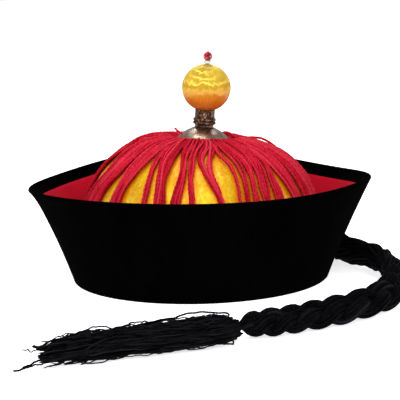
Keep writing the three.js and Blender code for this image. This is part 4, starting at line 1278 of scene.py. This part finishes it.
def ball_silk(turns=264, rows=120):
    """A ball round its bore. Threads run from pole to pole: the radius rises and falls with fine
    waves of the angle, with slower ones that make the winding uneven, and with waves of the
    height that bend with the angle. The thread's own map runs round and down the ball, and a face
    that closes the turn has the map's far end and not its start."""
    angle = (np.arange(turns) / turns * TURN)[:, None]
    edge = math.asin(BORE_RADIUS / BALL_RADIUS)
    a = np.linspace(edge, math.pi - edge, rows)[None, :]
    fine = waves(angle + 0 * a, [(SILK_THREADS, 0.07, 0)])
    bent = angle + 0.12 * np.sin(2 * a)
    slow = waves(bent, [(5, 0.1, 0.8), (9, 0.1, 2.2), (14, 0.09, 4.0), (23, 0.06, 1.0)])
    cross = 0.05 * np.sin(6 * a + 3 * np.sin(angle * 2))
    cross = cross + 0.06 * np.sin(13 * a + 4 * np.sin(3 * angle + 0.5) + 2.2 * np.sin(7 * angle))
    body = BALL_RADIUS - 0.2 + (fine + slow + cross) * np.sin(a) ** 0.7
    r = np.maximum(body * np.sin(a), BORE_RADIUS)
    z = BALL_HEIGHT + BALL_FLAT * body * np.cos(a)
    bore = np.stack([0 * angle + BORE_RADIUS, 0 * angle + BALL_HEIGHT], -1)
    made = ring_piece("ball_silk", np.concatenate([np.stack([r, z], -1), bore], 1), tilted)
    mesh = made.data
    corner = np.zeros(len(mesh.loops), np.int32)
    mesh.loops.foreach_get("vertex_index", corner)
    column = corner // (rows + 1)
    row = corner % (rows + 1)
    face = np.arange(len(corner)) // 4
    lowest = column.reshape(-1, 4).min(1)[face]
    wraps = (column.reshape(-1, 4).max(1)[face] - lowest) > 1
    column = np.where(wraps & (column == 0), turns, column)
    uv = np.stack([column / turns * TURN * BALL_RADIUS, -row / rows * math.pi * BALL_RADIUS], -1) * MM
    mesh.uv_layers.new(name="thread").data.foreach_set("uv", uv.astype(np.float32).ravel())
    return made


def bead_clear():
    """A small round bead with flat ends."""
    z, half = CLEAR_BEAD_HEIGHT, CLEAR_BEAD_HALF
    r = CLEAR_BEAD_RADIUS
    below = [(BORE_RADIUS, z - half), (r * 0.8, z - half), (r, z - 0.35)]
    above = [(r, z + 0.35), (r * 0.8, z + half), (BORE_RADIUS, z + half)]
    section = below + above
    return turned("bead_clear", rounded(section), 48)


def pin_metal():
    """The pin: a thin shank with a domed head above the beads and a flat foot in the crown."""
    head = RED_BEAD_TOP + GAP
    _, z = crown_outline(CROWN_WALL, 40)
    foot = z[-1] - 2 * GAP
    axis = 0.001
    dome = [(axis, head + 0.4), (0.7, head + 0.35), (1.1, head + 0.15), (1.2, head)]
    shank = [(PIN_RADIUS, head), (PIN_RADIUS, foot)]
    low = foot - PIN_FOOT_HEIGHT
    disc = [(PIN_FOOT_RADIUS, foot), (PIN_FOOT_RADIUS, low), (axis, low)]
    return turned("pin_metal", dome + shank + disc, 40)


def root_stitches():
    """The stitches that hold the braid's root to the brim, as points and a radius for each: out
    of the velvet, round the wrapping in a circle about the root, and back into the velvet."""
    table = []
    for distance in np.linspace(*ROOT_STITCH_SPAN, ROOT_STITCHES):
        middle = root_middle + root_along * distance
        outwards = unit(np.array([middle[0], middle[1], 0.0]))
        side = unit(outwards - np.dot(outwards, root_along) * root_along)
        up = np.cross(root_along, side)
        turn = np.radians(np.linspace(-115, 115, 9))[:, None]
        loop = middle + ROOT_STITCH_REACH * (np.cos(turn) * side + np.sin(turn) * up)
        ends = loop[[0, -1]]
        angle = np.arctan2(ends[:, 1], ends[:, 0])
        inside = brim_radius(ends[:, 2] / rim_height(angle), angle) - ROOT_STITCH_DEPTH
        ends = np.stack([inside * np.cos(angle), inside * np.sin(angle), ends[:, 2]], -1)
        table.append((ROOT_STITCH_RADIUS, np.vstack([ends[:1], loop, ends[1:]])))
    return table


bronze_metal = bronze()
gap_count = len(FRONT_GAPS) + len(BACK_GAPS)
front_count = len(FRONT_GAPS) - 1
# Each piece's finish, its mesh, its material slot and the solid that it takes the place of.
pieces = [
    (velvet(), brim_velvet(), "velvet", "brim"),
    (felt(), brim_felt(), "felt", "brim_lining"),
    (satin(), crown_satin(), "satin", "crown"),
    (red_thread, fringe_yarns("fringe_front", 0, front_count, rows=76, sides=9), "red_yarn", "fringe"),
    (red_thread, fringe_yarns("fringe_back", front_count, gap_count, rows=58, sides=8),
     "red_yarn", "fringe"),
    (red_thread, stray_yarns("fringe_strays", FRINGE_STRAYS, loose=0.3), "red_yarn", None),
    (black_thread, stray_yarns("root_stitches", root_stitches(), loose=0), "black_yarn", None),
    (silver(), cap_metal(), "silver", "finial_cap"),
    (bronze_metal, tube_metal(), "bronze", "finial_tube"),
    (silk(), ball_silk(), "silk", "finial_ball"),
    (clear_glass(), bead_clear(), "clear_glass", "clear_bead"),
    (bronze_metal, pin_metal(), "bronze", "finial_pin"),
]
for finish, made, slot, node in pieces:
    finish.on(made, slot)
    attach(made, "root")
    if node:
        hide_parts(node)
red_glass().on(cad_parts["red_bead"], "red_glass")


# Floor and lights

FLOOR_HALF = 20000
WORLD_STRENGTH = 0.5
# Each light's name, its place, the height on the hat's axis that it points at, its width and
# height in metres, and its power.
LIGHTS = [
    ("front_light", (-120, -1560, 750), 130, 1.5, 0.06, 12.5),
    ("left_light", (-1500, -550, 760), 130, 2.2, 0.06, 5),
    ("right_light", (1500, -550, 760), 130, 2.2, 0.06, 5),
    ("raised_light", (-250, -950, 1310), 130, 1.3, 0.06, 10),
    ("top_light", (-100, -120, 1550), 100, 1.2, 0.1, 7),
    ("back_light", (100, 960, 1280), 130, 1.2, 0.06, 7),
]


def lay_floor():
    """A wide level sheet of pale paper that the hat rests on."""
    half = FLOOR_HALF
    points = [(-half, -half, 0), (half, -half, 0), (half, half, 0), (-half, half, 0)]
    mesh = bpy.data.meshes.new("floor")
    mesh.from_pydata([tuple(v * MM for v in p) for p in points], [], [(0, 1, 2, 3)])
    made = bpy.data.objects.new("floor", mesh)
    bpy.context.scene.collection.objects.link(made)
    made.data.materials.append(floor_paper().material)


def soft_light(name, place, aim_height, width, height, power):
    """A rectangular soft light at a place, pointing at a height on the hat's axis."""
    data = bpy.data.lights.new(name, "AREA")
    data.shape = "RECTANGLE"
    data.size = width
    data.size_y = height
    data.energy = power
    light = bpy.data.objects.new(name, data)
    bpy.context.scene.collection.objects.link(light)
    light.location = Vector(place) * MM
    aim = Vector((0, 0, aim_height)) - Vector(place)
    light.rotation_euler = aim.to_track_quat("-Z", "Y").to_euler()


lay_floor()
for light_row in LIGHTS:
    soft_light(*light_row)
world = bpy.data.worlds.new("studio")
world.use_nodes = True
world.node_tree.nodes["Background"].inputs["Color"].default_value = (1, 1, 1, 1)
world.node_tree.nodes["Background"].inputs["Strength"].default_value = WORLD_STRENGTH
bpy.context.scene.world = world
bpy.context.scene.view_settings.view_transform = "Standard"
